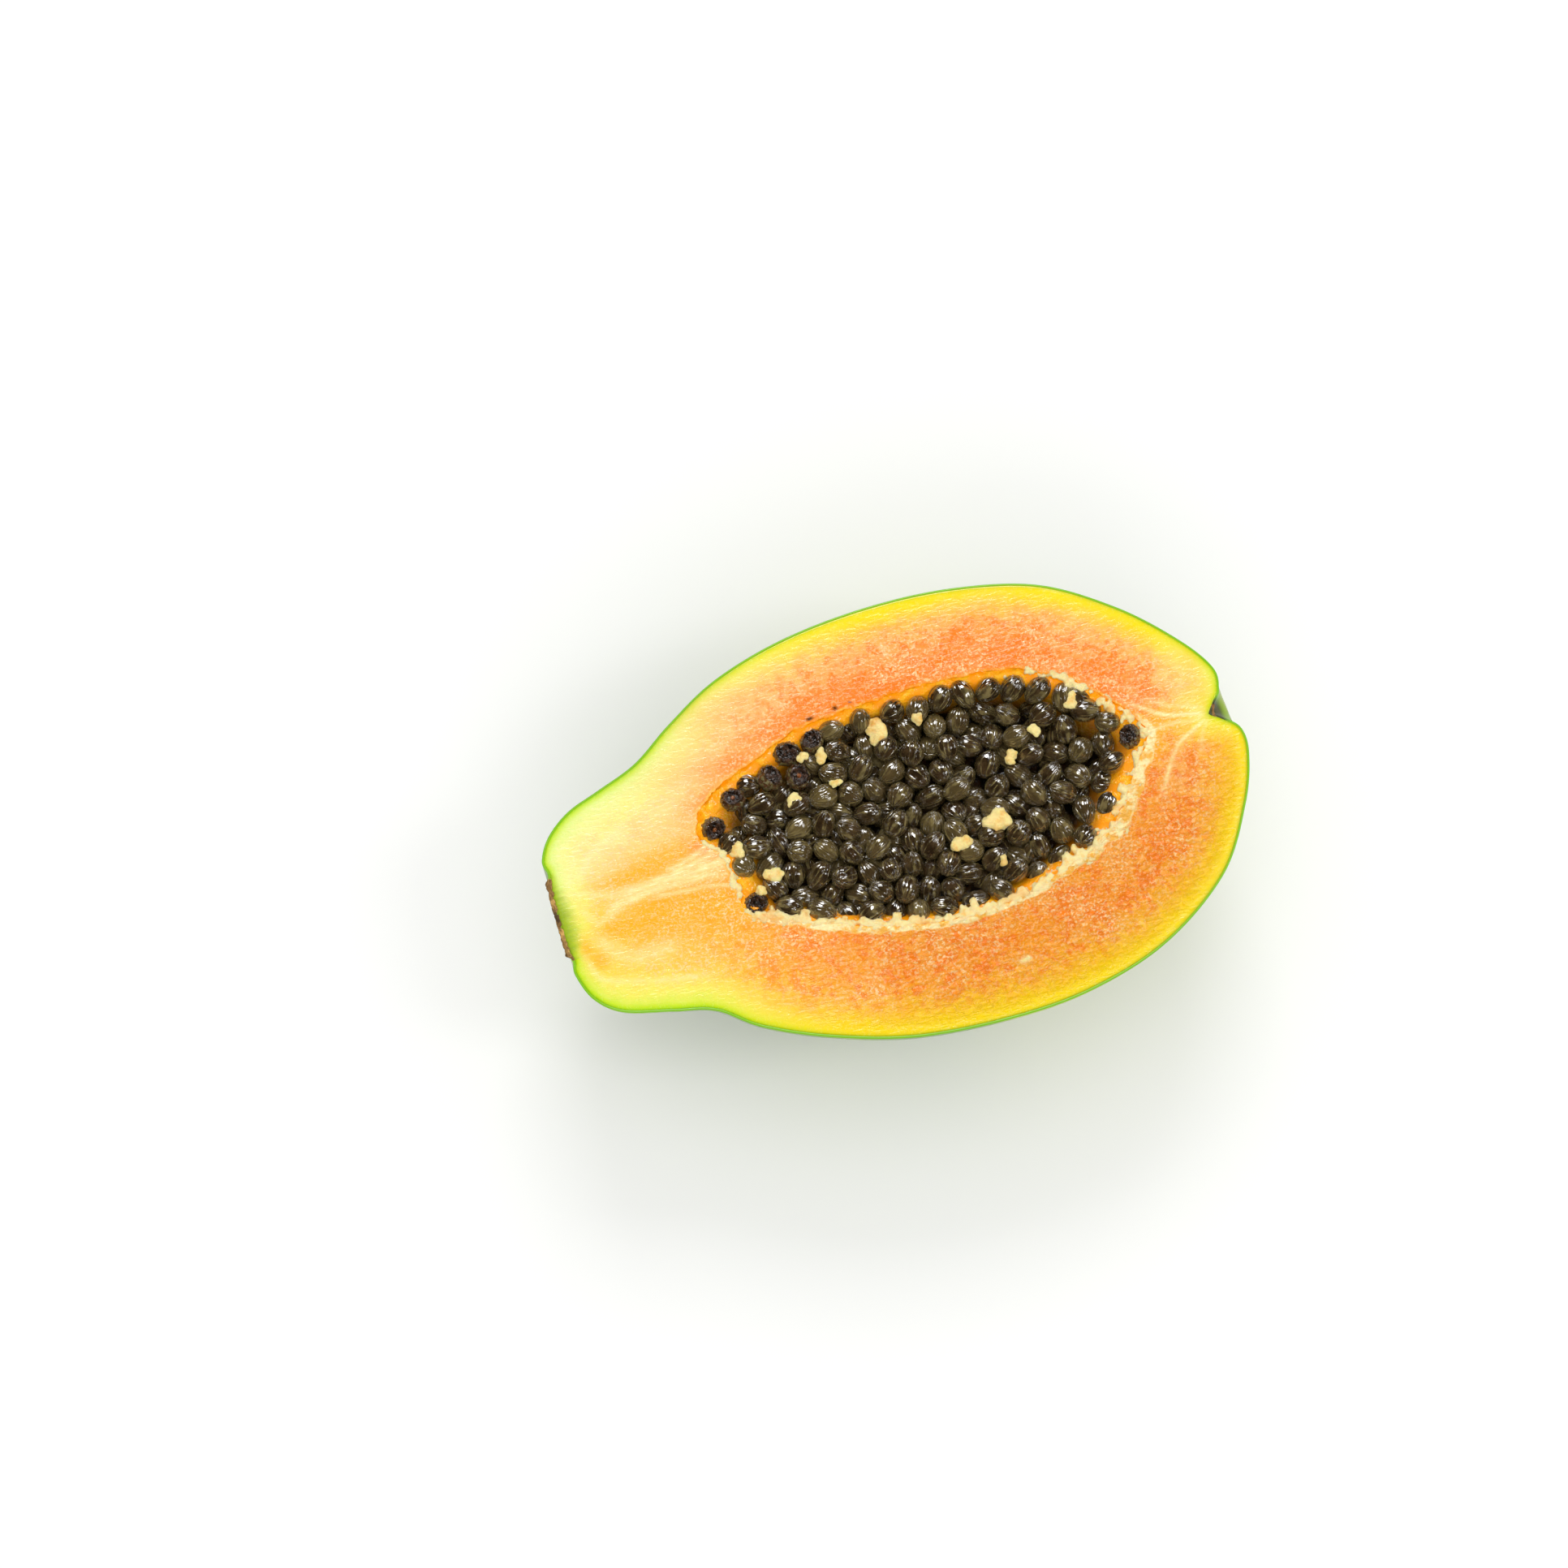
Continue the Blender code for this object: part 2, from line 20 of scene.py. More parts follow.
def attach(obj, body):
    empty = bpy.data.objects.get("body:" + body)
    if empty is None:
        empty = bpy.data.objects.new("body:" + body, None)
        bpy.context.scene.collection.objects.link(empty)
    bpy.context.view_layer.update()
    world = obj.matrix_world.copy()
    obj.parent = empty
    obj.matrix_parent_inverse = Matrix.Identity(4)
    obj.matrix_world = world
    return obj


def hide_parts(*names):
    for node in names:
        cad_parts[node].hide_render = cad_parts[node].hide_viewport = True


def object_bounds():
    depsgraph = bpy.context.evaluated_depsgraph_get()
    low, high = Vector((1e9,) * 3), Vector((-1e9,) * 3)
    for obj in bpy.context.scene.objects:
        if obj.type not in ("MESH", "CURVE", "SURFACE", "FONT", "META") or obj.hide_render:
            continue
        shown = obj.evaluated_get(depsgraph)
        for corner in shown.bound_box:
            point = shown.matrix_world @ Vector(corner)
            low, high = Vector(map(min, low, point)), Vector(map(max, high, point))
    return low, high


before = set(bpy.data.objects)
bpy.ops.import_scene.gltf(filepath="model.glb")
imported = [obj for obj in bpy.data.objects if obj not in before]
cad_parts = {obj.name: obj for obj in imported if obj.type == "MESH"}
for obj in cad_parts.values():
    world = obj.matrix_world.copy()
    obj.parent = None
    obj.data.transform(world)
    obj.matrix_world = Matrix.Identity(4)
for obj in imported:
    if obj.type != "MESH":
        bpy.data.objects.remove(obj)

CAD_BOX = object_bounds()
LOG = logging.getLogger("papaya")
MM = 0.001
ABOUT_A_TURN = 6.28
BLACK = "000000"
Places = np.ndarray
Piece = bpy.types.Object
Socket = bpy.types.NodeSocket
Material = bpy.types.Material
Stop = tuple[float, str]


class Slot(Enum):
    """The record's material slots."""

    SKIN = "skin"
    FLESH = "flesh"
    PITH = "pith"
    SCAR = "scar"
    SEED = "seed"


class Node(Enum):
    """The solids that the pieces here stand for."""

    FRUIT = "fruit_half"
    SEEDS = "seeds"


def smooth_through(points: Sequence, steps: int, closed: bool) -> Places:
    """Points of a Catmull-Rom curve through the given ones.

    Args:
        points: the curve's own points, one row each.
        steps: how many points each span gets.
        closed: whether the curve returns to its first point.

    Returns:
        The points, one row each.
    """
    rows = np.asarray(points, float)
    count = len(rows)
    made = []
    for span in range(count if closed else count - 1):
        if closed:
            a, b, c, d = (rows[(span + k) % count] for k in (-1, 0, 1, 2))
        else:
            b, c = rows[span], rows[span + 1]
            a = rows[span - 1] if span else 2 * b - c
            d = rows[span + 2] if span + 2 < count else 2 * c - b
        for step in range(steps):
            t = step / steps
            square = (2 * a - 5 * b + 4 * c - d) * t**2
            made.append(0.5 * (2 * b + (c - a) * t + square + (3 * b - 3 * c + d - a) * t**3))
    if not closed:
        made.append(rows[-1])
    return np.array(made)


def eased(value: Places, low: float, high: float) -> Places:
    """0 below low, 1 above high and a smooth step between them (or the reverse)."""
    share = np.clip((value - low) / (high - low), 0, 1)
    return share * share * (3 - 2 * share)


def rough_at(points: Places, size: float, depth: int = 2) -> Places:
    """Smooth random values between about -1 and 1 that change over size millimetres."""
    values = [noise.fractal(Vector(p) / size, 0.8, 2.0, depth) for p in points.reshape(-1, 3)]
    return np.array(values).reshape(points.shape[:-1])


def lifted(flat: Places, height: float | Places = 0.0) -> Places:
    """Spots of the cut face as points at a height."""
    return np.column_stack([flat, np.full(len(flat), height)])


def tree_over(line: Places) -> kdtree.KDTree:
    """What finds the nearest point of a line on the cut face.

    Args:
        line: its points, one row each.

    Returns:
        The search tree.
    """
    tree = kdtree.KDTree(len(line))
    for k, place in enumerate(line):
        tree.insert((place[0], place[1], 0.0), k)
    tree.balance()
    return tree


@dataclass(frozen=True)
class Sector:
    """A stretch of the cavity's edge: the bearings where it starts, is full, fades and ends."""

    start: float
    full: float
    fades: float
    end: float

    def share(self, bearing: Places) -> Places:
        """How much of it lies at each bearing, from 0 to 1."""
        return eased(bearing, self.start, self.full) * eased(bearing, self.end, self.fades)


@dataclass(frozen=True)
class FruitForm:
    """The fruit's own shape, the same as the solid's, in millimetres.

    A row of meridians is one station from the stem scar to the blossom pit: far edge
    (x, y), near edge (x, y) and back (x, depth). rim is the cavity's edge.
    """

    meridians: tuple = (
        ((-0.3, 0.0), (-0.3, 0.0), (-0.3, 0.0)),
        ((-0.2, 5.0), (-0.4, -5.0), (-0.3, 5.0)),
        ((0.4, 9.2), (-0.1, -9.4), (0.1, 9.4)),
        ((0.7, 11.0), (0.2, -11.0), (0.5, 11.0)),
        ((0.3, 14.2), (-0.2, -14.0), (0.1, 14.0)),
        ((3.4, 19.2), (2.2, -20.6), (2.8, 20.0)),
        ((9.6, 23.6), (8.0, -25.6), (8.8, 24.6)),
        ((18.0, 26.4), (19.0, -28.9), (18.5, 27.4)),
        ((28.0, 29.9), (28.5, -31.8), (28.0, 30.6)),
        ((38.5, 36.5), (37.5, -38.7), (38.0, 36.4)),
        ((52.0, 43.4), (51.5, -45.6), (52.0, 43.4)),
        ((70.0, 47.9), (70.0, -51.7), (70.0, 49.6)),
        ((91.0, 49.3), (91.0, -54.4), (91.0, 51.4)),
        ((112.0, 47.6), (112.0, -54.0), (112.0, 48.9)),
        ((132.0, 42.1), (133.0, -48.7), (132.0, 42.6)),
        ((148.0, 31.2), (151.2, -37.4), (149.5, 32.6)),
        ((159.4, 19.3), (161.6, -23.0), (160.5, 20.6)),
        ((165.0, 10.4), (166.3, -12.0), (165.7, 11.0)),
        ((164.6, 4.8), (166.6, -5.6), (165.8, 5.0)),
        ((162.6, 2.2), (163.4, -1.9), (163.2, 2.0)),
        ((160.8, 0.0), (160.8, 0.0), (160.8, 0.0)),
    )
    meridian_steps: int = 24
    rib_count: int = 5
    rib_swell: float = 0.014
    rim: tuple = (
        (41.4, -5.5), (42.9, -13.2), (52.6, -17.4), (64.4, -22.4), (78.2, -26.7), (92.0, -28.6),
        (105.5, -27.8), (118.0, -24.4), (127.5, -20.4), (134.2, -14.8), (139.4, -7.4), (145.2, 0.4),
        (139.0, 10.8), (130.0, 19.6), (118.0, 25.0), (104.0, 27.0), (90.0, 27.3), (76.0, 27.0),
        (64.0, 25.5), (54.0, 22.0), (45.0, 18.6), (38.3, 13.4), (37.0, 8.0), (40.6, 2.5),
    )
    rim_steps: int = 12
    rough_count: int = 304
    middle: tuple = (92.0, -1.5)
    cavity_depth: float = 26.5
    bowl_fullness: float = 0.7
    ragged_edge: float = 0.7
    ragged_scale: float = 3.2
    balance: tuple = (87.5, -2.2)
    seat_depth: float = 49.8

    def matrix(self) -> Matrix:
        """What moves and scales the fruit's millimetres to the frame's metres."""
        shift = Vector((-self.balance[0], -self.balance[1], self.seat_depth)) * MM
        return Matrix.Translation(shift) @ Matrix.Scale(MM, 4)

    def to_world(self, points: Places) -> Places:
        """Sets points of the fruit in the frame, in metres.

        Args:
            points: an array of millimetres whose last axis is x, y, z.

        Returns:
            The same points, no further out than the solids' own box.
        """
        low, high = (np.array(corner) for corner in CAD_BOX)
        moved = (np.asarray(points, float) - (*self.balance, -self.seat_depth)) * MM
        return np.clip(moved, low, high)

    def skin_grid(self, stations: int, segments: int) -> Places:
        """Points of the skin, one row for each station and one column for each angle.

        Args:
            stations: rows, closer together where the form turns quickly.
            segments: columns less one, from the far edge over the back to the near edge.

        Returns:
            An array of stations by segments + 1 by 3.
        """
        dense = smooth_through(self.meridians, self.meridian_steps, closed=False)
        steps = np.linalg.norm(np.diff(dense[:, 0], axis=0), axis=1)
        along = np.concatenate([[0.0], np.cumsum(steps)]) / steps.sum()
        share = np.linspace(0, 1, len(dense))
        where = np.interp(np.linspace(0, 1, stations), (along + share) / 2, share)
        flat = dense.reshape(len(dense), -1)
        rows = np.column_stack([np.interp(where, share, column) for column in flat.T])
        far, near, back = (rows[:, None, k : k + 2] for k in (0, 2, 4))
        angle = np.linspace(0, math.pi, segments + 1)[None]
        across, down = np.cos(angle), np.sin(angle)
        side = np.where(across[..., None] >= 0, far, near)
        ribs = np.cos(self.rib_count * angle + math.pi / 2) * down
        swell = 1 + self.rib_swell * ribs * np.sin(math.pi * where)[:, None]
        x = side[..., 0] * across**2 + back[..., 0] * down**2
        y = side[..., 1] * np.abs(across) * swell
        return np.stack([x, y, -back[..., 1] * down * swell], axis=2)

    def inset(self, grid: Places, gap: float) -> Places:
        """Moves a grid of the skin into the fruit.

        Args:
            grid: the grid.
            gap: how far, in millimetres.

        Returns:
            The moved grid, whose two edges are still on the cut face.
        """
        out = np.cross(np.gradient(grid, axis=0), np.gradient(grid, axis=1))
        out[:, [0, -1], 2] = 0
        out[0] = (-1, 0, 0)
        out[-1] = (1, 0, 0)
        out /= np.linalg.norm(out, axis=2, keepdims=True) + 1e-12
        return grid - out * gap

    def outline(self, grid: Places) -> Places:
        """The grid's edge on the cut face as one loop, from the scar along the far side."""
        return np.concatenate([grid[:, 0], grid[1:-1, -1][::-1]])

    def rim_edge(self, count: int, ragged: float = 0.0) -> tuple[Places, Places]:
        """The cavity's edge on the cut face.

        Args:
            count: how many points it gets, evenly along it.
            ragged: how far its torn edge wanders, in millimetres.

        Returns:
            The points and the directions into the cavity, both one row each.
        """
        dense = smooth_through(self.rim, self.rim_steps, closed=True)
        steps = np.linalg.norm(np.roll(dense, -1, axis=0) - dense, axis=1)
        along = np.concatenate([[0.0], np.cumsum(steps)])
        where = np.linspace(0, along[-1], count, endpoint=False)
        closed = np.vstack([dense, dense[:1]])
        edge = np.column_stack([np.interp(where, along, closed[:, k]) for k in (0, 1)])
        tangent = np.roll(edge, -1, axis=0) - np.roll(edge, 1, axis=0)
        tangent /= np.linalg.norm(tangent, axis=1)[:, None]
        inward = np.column_stack([-tangent[:, 1], tangent[:, 0]])
        rough = [noise.noise(Vector((x, y, 0.0)) / self.ragged_scale) for x, y in edge]
        return edge + inward * (ragged * np.array(rough))[:, None], inward

    def torn_rim(self, count: int) -> tuple[Places, Places]:
        """The cavity's edge with its torn wander, and the directions into the cavity."""
        return self.rim_edge(count, self.ragged_edge)

    def bearing(self, spots: Places) -> Places:
        """The direction of spots from the cavity's middle, in degrees: 0 is the blossom end."""
        return np.degrees(np.arctan2(spots[:, 1] - self.middle[1], spots[:, 0] - self.middle[0]))

    def reach(self, spots: Places) -> Places:
        """How far out spots lie in the cavity.

        Args:
            spots: their x and y, one row each.

        Returns:
            For each, 0 at the cavity's middle and 1 at its edge or past it.
        """
        rim, _ = self.rim_edge(self.rough_count)
        away, offset = rim - self.middle, spots - self.middle
        bearing = np.arctan2(away[:, 1], away[:, 0])
        order = np.argsort(bearing)
        width = np.linalg.norm(away, axis=1)[order]
        heading = np.arctan2(offset[:, 1], offset[:, 0])
        limit = np.interp(heading, bearing[order], width, period=2 * math.pi)
        return np.clip(np.linalg.norm(offset, axis=1) / limit, 0, 1)


FORM = FruitForm()


def pick(*pieces: Piece) -> None:
    """Selects these pieces alone, and makes the first the active one.

    Args:
        pieces: the pieces.
    """
    bpy.ops.object.select_all(action="DESELECT")
    for piece in pieces:
        piece.select_set(True)
    bpy.context.view_layer.objects.active = pieces[0]


@contextmanager
def editing(piece: Piece) -> Iterator[None]:
    """Edit mode on one piece, with all of its mesh selected.

    Args:
        piece: the piece.
    """
    pick(piece)
    bpy.ops.object.mode_set(mode="EDIT")
    bpy.ops.mesh.select_all(action="SELECT")
    yield
    bpy.ops.object.mode_set(mode="OBJECT")


def primitive(add: Callable, name: str, **settings: object) -> Piece:
    """Adds a primitive, with nothing else selected.

    Args:
        add: the operator.
        name: the new piece's name.
        settings: the operator's own, by name.

    Returns:
        The piece.
    """
    bpy.ops.object.select_all(action="DESELECT")
    add(**settings)
    piece = bpy.context.active_object
    named(piece, name)
    return piece


def named(piece: Piece, name: str) -> None:
    """Gives a piece and its mesh a name."""
    piece.name = name
    piece.data.name = name


def moved_to(piece: Piece, spots: Places) -> None:
    """Moves every point of a piece's mesh, in order, to spots in the fruit's millimetres."""
    piece.data.vertices.foreach_set("co", np.asarray(FORM.to_world(spots), np.float32).ravel())
    piece.data.update()


def places_of(piece: Piece) -> Places:
    """Reads where a piece's points are.

    Args:
        piece: the piece.

    Returns:
        One row for each point, in the fruit's millimetres.
    """
    found = np.empty(len(piece.data.vertices) * 3, np.float32)
    piece.data.vertices.foreach_get("co", found)
    return found.reshape(-1, 3) / MM + (*FORM.balance, -FORM.seat_depth)


def sheet_of(name: str, points: Places) -> Piece:
    """A grid primitive drawn out to a sheet.

    Args:
        name: the new piece's name.
        points: rows by columns by 3, in the fruit's millimetres.

    Returns:
        The piece, with its points in rows.
    """
    rows, columns = points.shape[:2]
    cells = {"x_subdivisions": columns - 1, "y_subdivisions": rows - 1}
    sheet = primitive(bpy.ops.mesh.primitive_grid_add, name, size=1, **cells)
    moved_to(sheet, points)
    return sheet


def closed_up(piece: Piece, within: float = 0.004) -> None:
    """Merges the points of seams and poles, and turns the faces outwards.

    Args:
        piece: the piece.
        within: how near points have to lie to be merged, in millimetres.
    """
    with editing(piece):
        bpy.ops.mesh.remove_doubles(threshold=within * MM)
        bpy.ops.mesh.dissolve_degenerate(threshold=within * MM / 4)
        bpy.ops.mesh.normals_make_consistent(inside=False)


def joined(pieces: Sequence[Piece]) -> Piece:
    """Joins pieces into the first of them.

    Args:
        pieces: the pieces.

    Returns:
        The first of them.
    """
    pick(*pieces)
    bpy.ops.object.join()
    return pieces[0]


def modified(piece: Piece, kind: str, **settings: object) -> None:
    """Adds a modifier to a piece and applies it.

    Args:
        piece: the piece.
        kind: the modifier's type.
        settings: its values by name.
    """
    pick(piece)
    modifier = piece.modifiers.new(kind.lower(), kind)
    for setting, value in settings.items():
        setattr(modifier, setting, value)
    bpy.ops.object.modifier_apply(modifier=modifier.name)


def point_values(piece: Piece, name: str, values: Places) -> None:
    """Stores one number for each point of a piece, for its material to read."""
    layer = piece.data.attributes.new(name, "FLOAT", "POINT")
    layer.data.foreach_set("value", np.asarray(values, np.float32))


def finished(piece: Piece, material: Material, node: Node) -> None:
    """Dresses a piece and hands it over to the frame.

    Args:
        piece: the piece, in its place.
        material: its finish.
        node: the solid that it stands for.
    """
    piece.data.materials.clear()
    piece.data.materials.append(material)
    pick(piece)
    bpy.ops.object.shade_smooth()
    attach(piece, "root")
    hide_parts(node.value)
    LOG.info("%s: %d faces", piece.name, len(piece.data.polygons))


def copied(
    name: str,
    templates: Sequence[Piece],
    places: Sequence[Matrix],
    values: dict[str, Sequence[float]] | None = None,
) -> Piece:
    """Copies of a few templates, taken in turn and joined, each with its own mesh.

    Args:
        name: the new piece's name.
        templates: what is copied; they are removed afterwards.
        places: one matrix for each copy, in the fruit's millimetres.
        values: for each name, one number for each copy, for the material to read.

    Returns:
        The new piece.
    """
    copies = []
    for number, place in enumerate(places):
        template = templates[number % len(templates)]
        copy = template.copy()
        copy.data = template.data.copy()
        copy.data.transform(FORM.matrix() @ place)
        bpy.context.scene.collection.objects.link(copy)
        for label, numbers in (values or {}).items():
            point_values(copy, label, np.full(len(copy.data.vertices), numbers[number]))
        copies.append(copy)
    for template in templates:
        bpy.data.objects.remove(template)
    piece = joined(copies)
    named(piece, name)
    moved_to(piece, places_of(piece))
    return piece


def placed(spot: Sequence[float], turn: Matrix, size: Sequence[float]) -> Matrix:
    """The matrix of a copy: its place, turn and size, in millimetres."""
    return Matrix.Translation(spot) @ turn.to_4x4() @ Matrix.Diagonal((*size, 1.0))


def turned(angle: float, axis: str = "Z") -> Matrix:
    """A turn about an axis, by an angle in radians."""
    return Matrix.Rotation(angle, 3, axis)


def fused(name: str, lumps: Sequence[Matrix], voxel: float, crumble: float) -> Piece:
    """Torn tissue: lumps grown together, and roughened at two scales.

    Args:
        name: the new piece's name.
        lumps: the matrix of each lump.
        voxel: how finely they are grown together, in millimetres.
        crumble: how far the surface is roughened, in millimetres.

    Returns:
        The piece.
    """
    ball = primitive(bpy.ops.mesh.primitive_ico_sphere_add, "lump", subdivisions=1, radius=1.0)
    piece = copied(name, [ball], lumps)
    modified(piece, "REMESH", mode="VOXEL", voxel_size=voxel * MM, use_smooth_shade=True)
    modified(piece, "SMOOTH", factor=0.5, iterations=3)
    for size, share in ((1.6, 1.0), (0.6, 0.6)):
        clouds = bpy.data.textures.new(name + "_clouds", "CLOUDS")
        clouds.noise_scale = size * MM
        clouds.noise_depth = 2
        settings = {"texture": clouds, "texture_coords": "LOCAL", "mid_level": 0.5}
        modified(piece, "DISPLACE", strength=crumble * share * MM, **settings)
    return piece


def linear(code: str) -> tuple[float, float, float, float]:
    """Reads a colour.

    Args:
        code: its six figures, such as ff9a50.

    Returns:
        The linear colour.
    """
    parts = [int(code[k : k + 2], 16) / 255 for k in (0, 2, 4)]
    light = [p / 12.92 if p <= 0.04045 else ((p + 0.055) / 1.055) ** 2.4 for p in parts]
    return (*light, 1.0)


@dataclass(frozen=True)
class Blotches:
    """A scatter of soft blotches: how many a metre, its mask's limits, and its detail."""

    per_metre: float
    low: float
    high: float
    detail: float = 3.0


class Bench:
    """Lays out and wires the nodes of one material or group."""

    def __init__(self, tree: bpy.types.NodeTree) -> None:
        """Starts on a tree."""
        self.tree = tree

    def fill(self, node: bpy.types.Node, inputs: dict[int | str, object]) -> None:
        """Gives a node its inputs.

        Args:
            node: the node.
            inputs: for each number or name (with _ for its spaces), a value, a colour code,
                or an output to wire to it.
        """
        for key, value in inputs.items():
            socket = node.inputs[key if isinstance(key, int) else key.replace("_", " ")]
            if isinstance(value, Socket):
                self.tree.links.new(value, socket)
            else:
                socket.default_value = linear(value) if isinstance(value, str) else value

    def node(self, kind: str, inputs: dict | None = None, **settings: object) -> bpy.types.Node:
        """Adds a node.

        Args:
            kind: the node's type, without its ShaderNode.
            inputs: as fill takes them.
            settings: the node's own settings by name.

        Returns:
            The node.
        """
        made = self.tree.nodes.new("ShaderNode" + kind)
        for setting, value in settings.items():
            setattr(made, setting, value)
        self.fill(made, inputs or {})
        return made

    def value(self, attribute: str) -> Socket:
        """A number that the piece's mesh carries."""
        return self.node("Attribute", attribute_name=attribute).outputs["Fac"]

    def spot(self) -> Socket:
        """The place on the piece."""
        return self.node("TexCoord").outputs["Object"]

    def cloud(self, **inputs: object) -> Socket:
        """Smooth noise."""
        return self.node("TexNoise", inputs).outputs[0]

    def math(self, operation: str, first: object, second: object) -> Socket:
        """Two numbers combined."""
        return self.node("Math", {0: first, 1: second}, operation=operation).outputs[0]

    def times(self, *numbers: object) -> Socket:
        """Numbers multiplied together.

        Args:
            numbers: values or outputs.

        Returns:
            The product.
        """
        product = numbers[0]
        for number in numbers[1:]:
            product = self.math("MULTIPLY", product, number)
        return product

    def fitted(
        self, number: object, low: object, high: object, to_low: float = 0.0, to_high: float = 1.0
    ) -> Socket:
        """A number moved smoothly from the range low to high into another."""
        inputs = {0: number, 1: low, 2: high, 3: to_low, 4: to_high}
        return self.node("MapRange", inputs, interpolation_type="SMOOTHSTEP").outputs[0]

    def mix(self, share: object, first: object, second: object) -> Socket:
        """Two colours mixed, by how much of the second shows."""
        return self.node("Mix", {0: share, 6: first, 7: second}, data_type="RGBA").outputs[2]

    def layered(self, colour: object, layers: Sequence[tuple[object, object]]) -> Socket:
        """A colour with others laid over it.

        Args:
            colour: what lies under them.
            layers: how much of each shows, and its colour.

        Returns:
            The colour.
        """
        for share, over in layers:
            colour = self.mix(share, colour, over)
        return colour

    def ramp(self, number: object, reach: float, stops: Sequence[Stop]) -> Socket:
        """A colour for a number.

        Args:
            number: the number.
            reach: what the stops' places are measured up to.
            stops: place and colour code of each stop.

        Returns:
            The colour.
        """
        made = self.node("ValToRGB", {0: self.math("DIVIDE", number, reach)})
        band = made.color_ramp
        while len(band.elements) < len(stops):
            band.elements.new(0.5)
        for element, (place, code) in zip(band.elements, stops):
            element.position = place / reach
            element.color = linear(code)
        return made.outputs["Color"]

    def bump(self, height: Socket, strength: float, deep: float) -> Socket:
        """A normal that follows a height, whose full range is deep millimetres."""
        inputs = {"Height": height, "Strength": strength, "Distance": deep * MM}
        return self.node("Bump", inputs).outputs[0]

    def mottle(self, marks: Blotches) -> Socket:
        """The mask of a scatter of blotches."""
        inputs = {"Per Metre": marks.per_metre, "Low": marks.low, "High": marks.high}
        return self.node("Group", {**inputs, "Detail": marks.detail}, node_tree=MOTTLE).outputs[0]

    def wet_grain(self, **inputs: float) -> dict[str, Socket]:
        """The height and the cells of cut, wet tissue, by name."""
        return dict(self.node("Group", inputs, node_tree=WET_GRAIN).outputs.items())


def effect(
    name: str, inputs: dict[str, float], outputs: Sequence[str]
) -> tuple[Bench, dict[str, Socket], bpy.types.Node]:
    """Starts a shared effect, a group whose inputs and outputs are numbers.

    Args:
        name: the group's name.
        inputs: each input's name and usual value.
        outputs: the outputs' names.

    Returns:
        The bench to build it on, its inputs by name, and the node that takes its outputs.
    """
    tree = bpy.data.node_groups.new(name, "ShaderNodeTree")
    for label, usual in inputs.items():
        socket = tree.interface.new_socket(label, in_out="INPUT", socket_type="NodeSocketFloat")
        socket.default_value = usual
    for label in outputs:
        tree.interface.new_socket(label, in_out="OUTPUT", socket_type="NodeSocketFloat")
    given = dict(tree.nodes.new("NodeGroupInput").outputs.items())
    return Bench(tree), given, tree.nodes.new("NodeGroupOutput")


def mottle_effect() -> bpy.types.NodeTree:
    """Soft blotches: a mask that is 0 between them and 1 within them.

    Returns:
        The group.
    """
    usual = {"Per Metre": 100.0, "Low": 0.4, "High": 0.6, "Detail": 3.0}
    bench, given, sink = effect("mottle", usual, ("Mask",))
    scale = {"Scale": given["Per Metre"], "Detail": given["Detail"]}
    cloud = bench.cloud(Vector=bench.spot(), Roughness=0.6, **scale)
    bench.fill(sink, {"Mask": bench.fitted(cloud, given["Low"], given["High"])})
    return bench.tree


def wet_grain_effect() -> bpy.types.NodeTree:
    """The height of cut, wet tissue: fine cells, with torn pits drawn out along one way.

    Returns:
        The group.
    """
    usual = {"Cells Per Metre": 1400.0, "Pits Per Metre": 420.0, "Pit Depth": 1.0}
    bench, given, sink = effect("wet_grain", usual, ("Height", "Cells"))
    spot, many = bench.spot(), given["Cells Per Metre"]
    cells = bench.cloud(Vector=spot, Scale=many, Detail=3.0, Roughness=0.62)
    drawn_out = {"Vector": spot, "Rotation": (0, 0, math.radians(38)), "Scale": (1.0, 2.4, 1.0)}
    pits = bench.cloud(
        Vector=bench.node("Mapping", drawn_out).outputs[0],
        Scale=given["Pits Per Metre"],
        Detail=4.0,
        Roughness=0.58,
        Distortion=0.4,
    )
    torn = bench.times(bench.fitted(pits, 0.32, 0.62), given["Pit Depth"])
    height = bench.math("ADD", bench.times(cells, 0.45), torn)
    bench.fill(sink, {"Height": height, "Cells": cells})
    return bench.tree


MOTTLE = mottle_effect()
WET_GRAIN = wet_grain_effect()


class Surface(Bench):
    """The bench of one material, with its Principled shader."""

    def __init__(self, name: str) -> None:
        """Starts a new material.

        Args:
            name: its name.
        """
        self.made = bpy.data.materials.new(name)
        self.made.use_nodes = True
        super().__init__(self.made.node_tree)

    def dress(self, **inputs: object) -> Material:
        """Gives the shader its inputs, as fill takes them, and hands the material over."""
        self.fill(self.tree.nodes["Principled BSDF"], inputs)
        return self.made


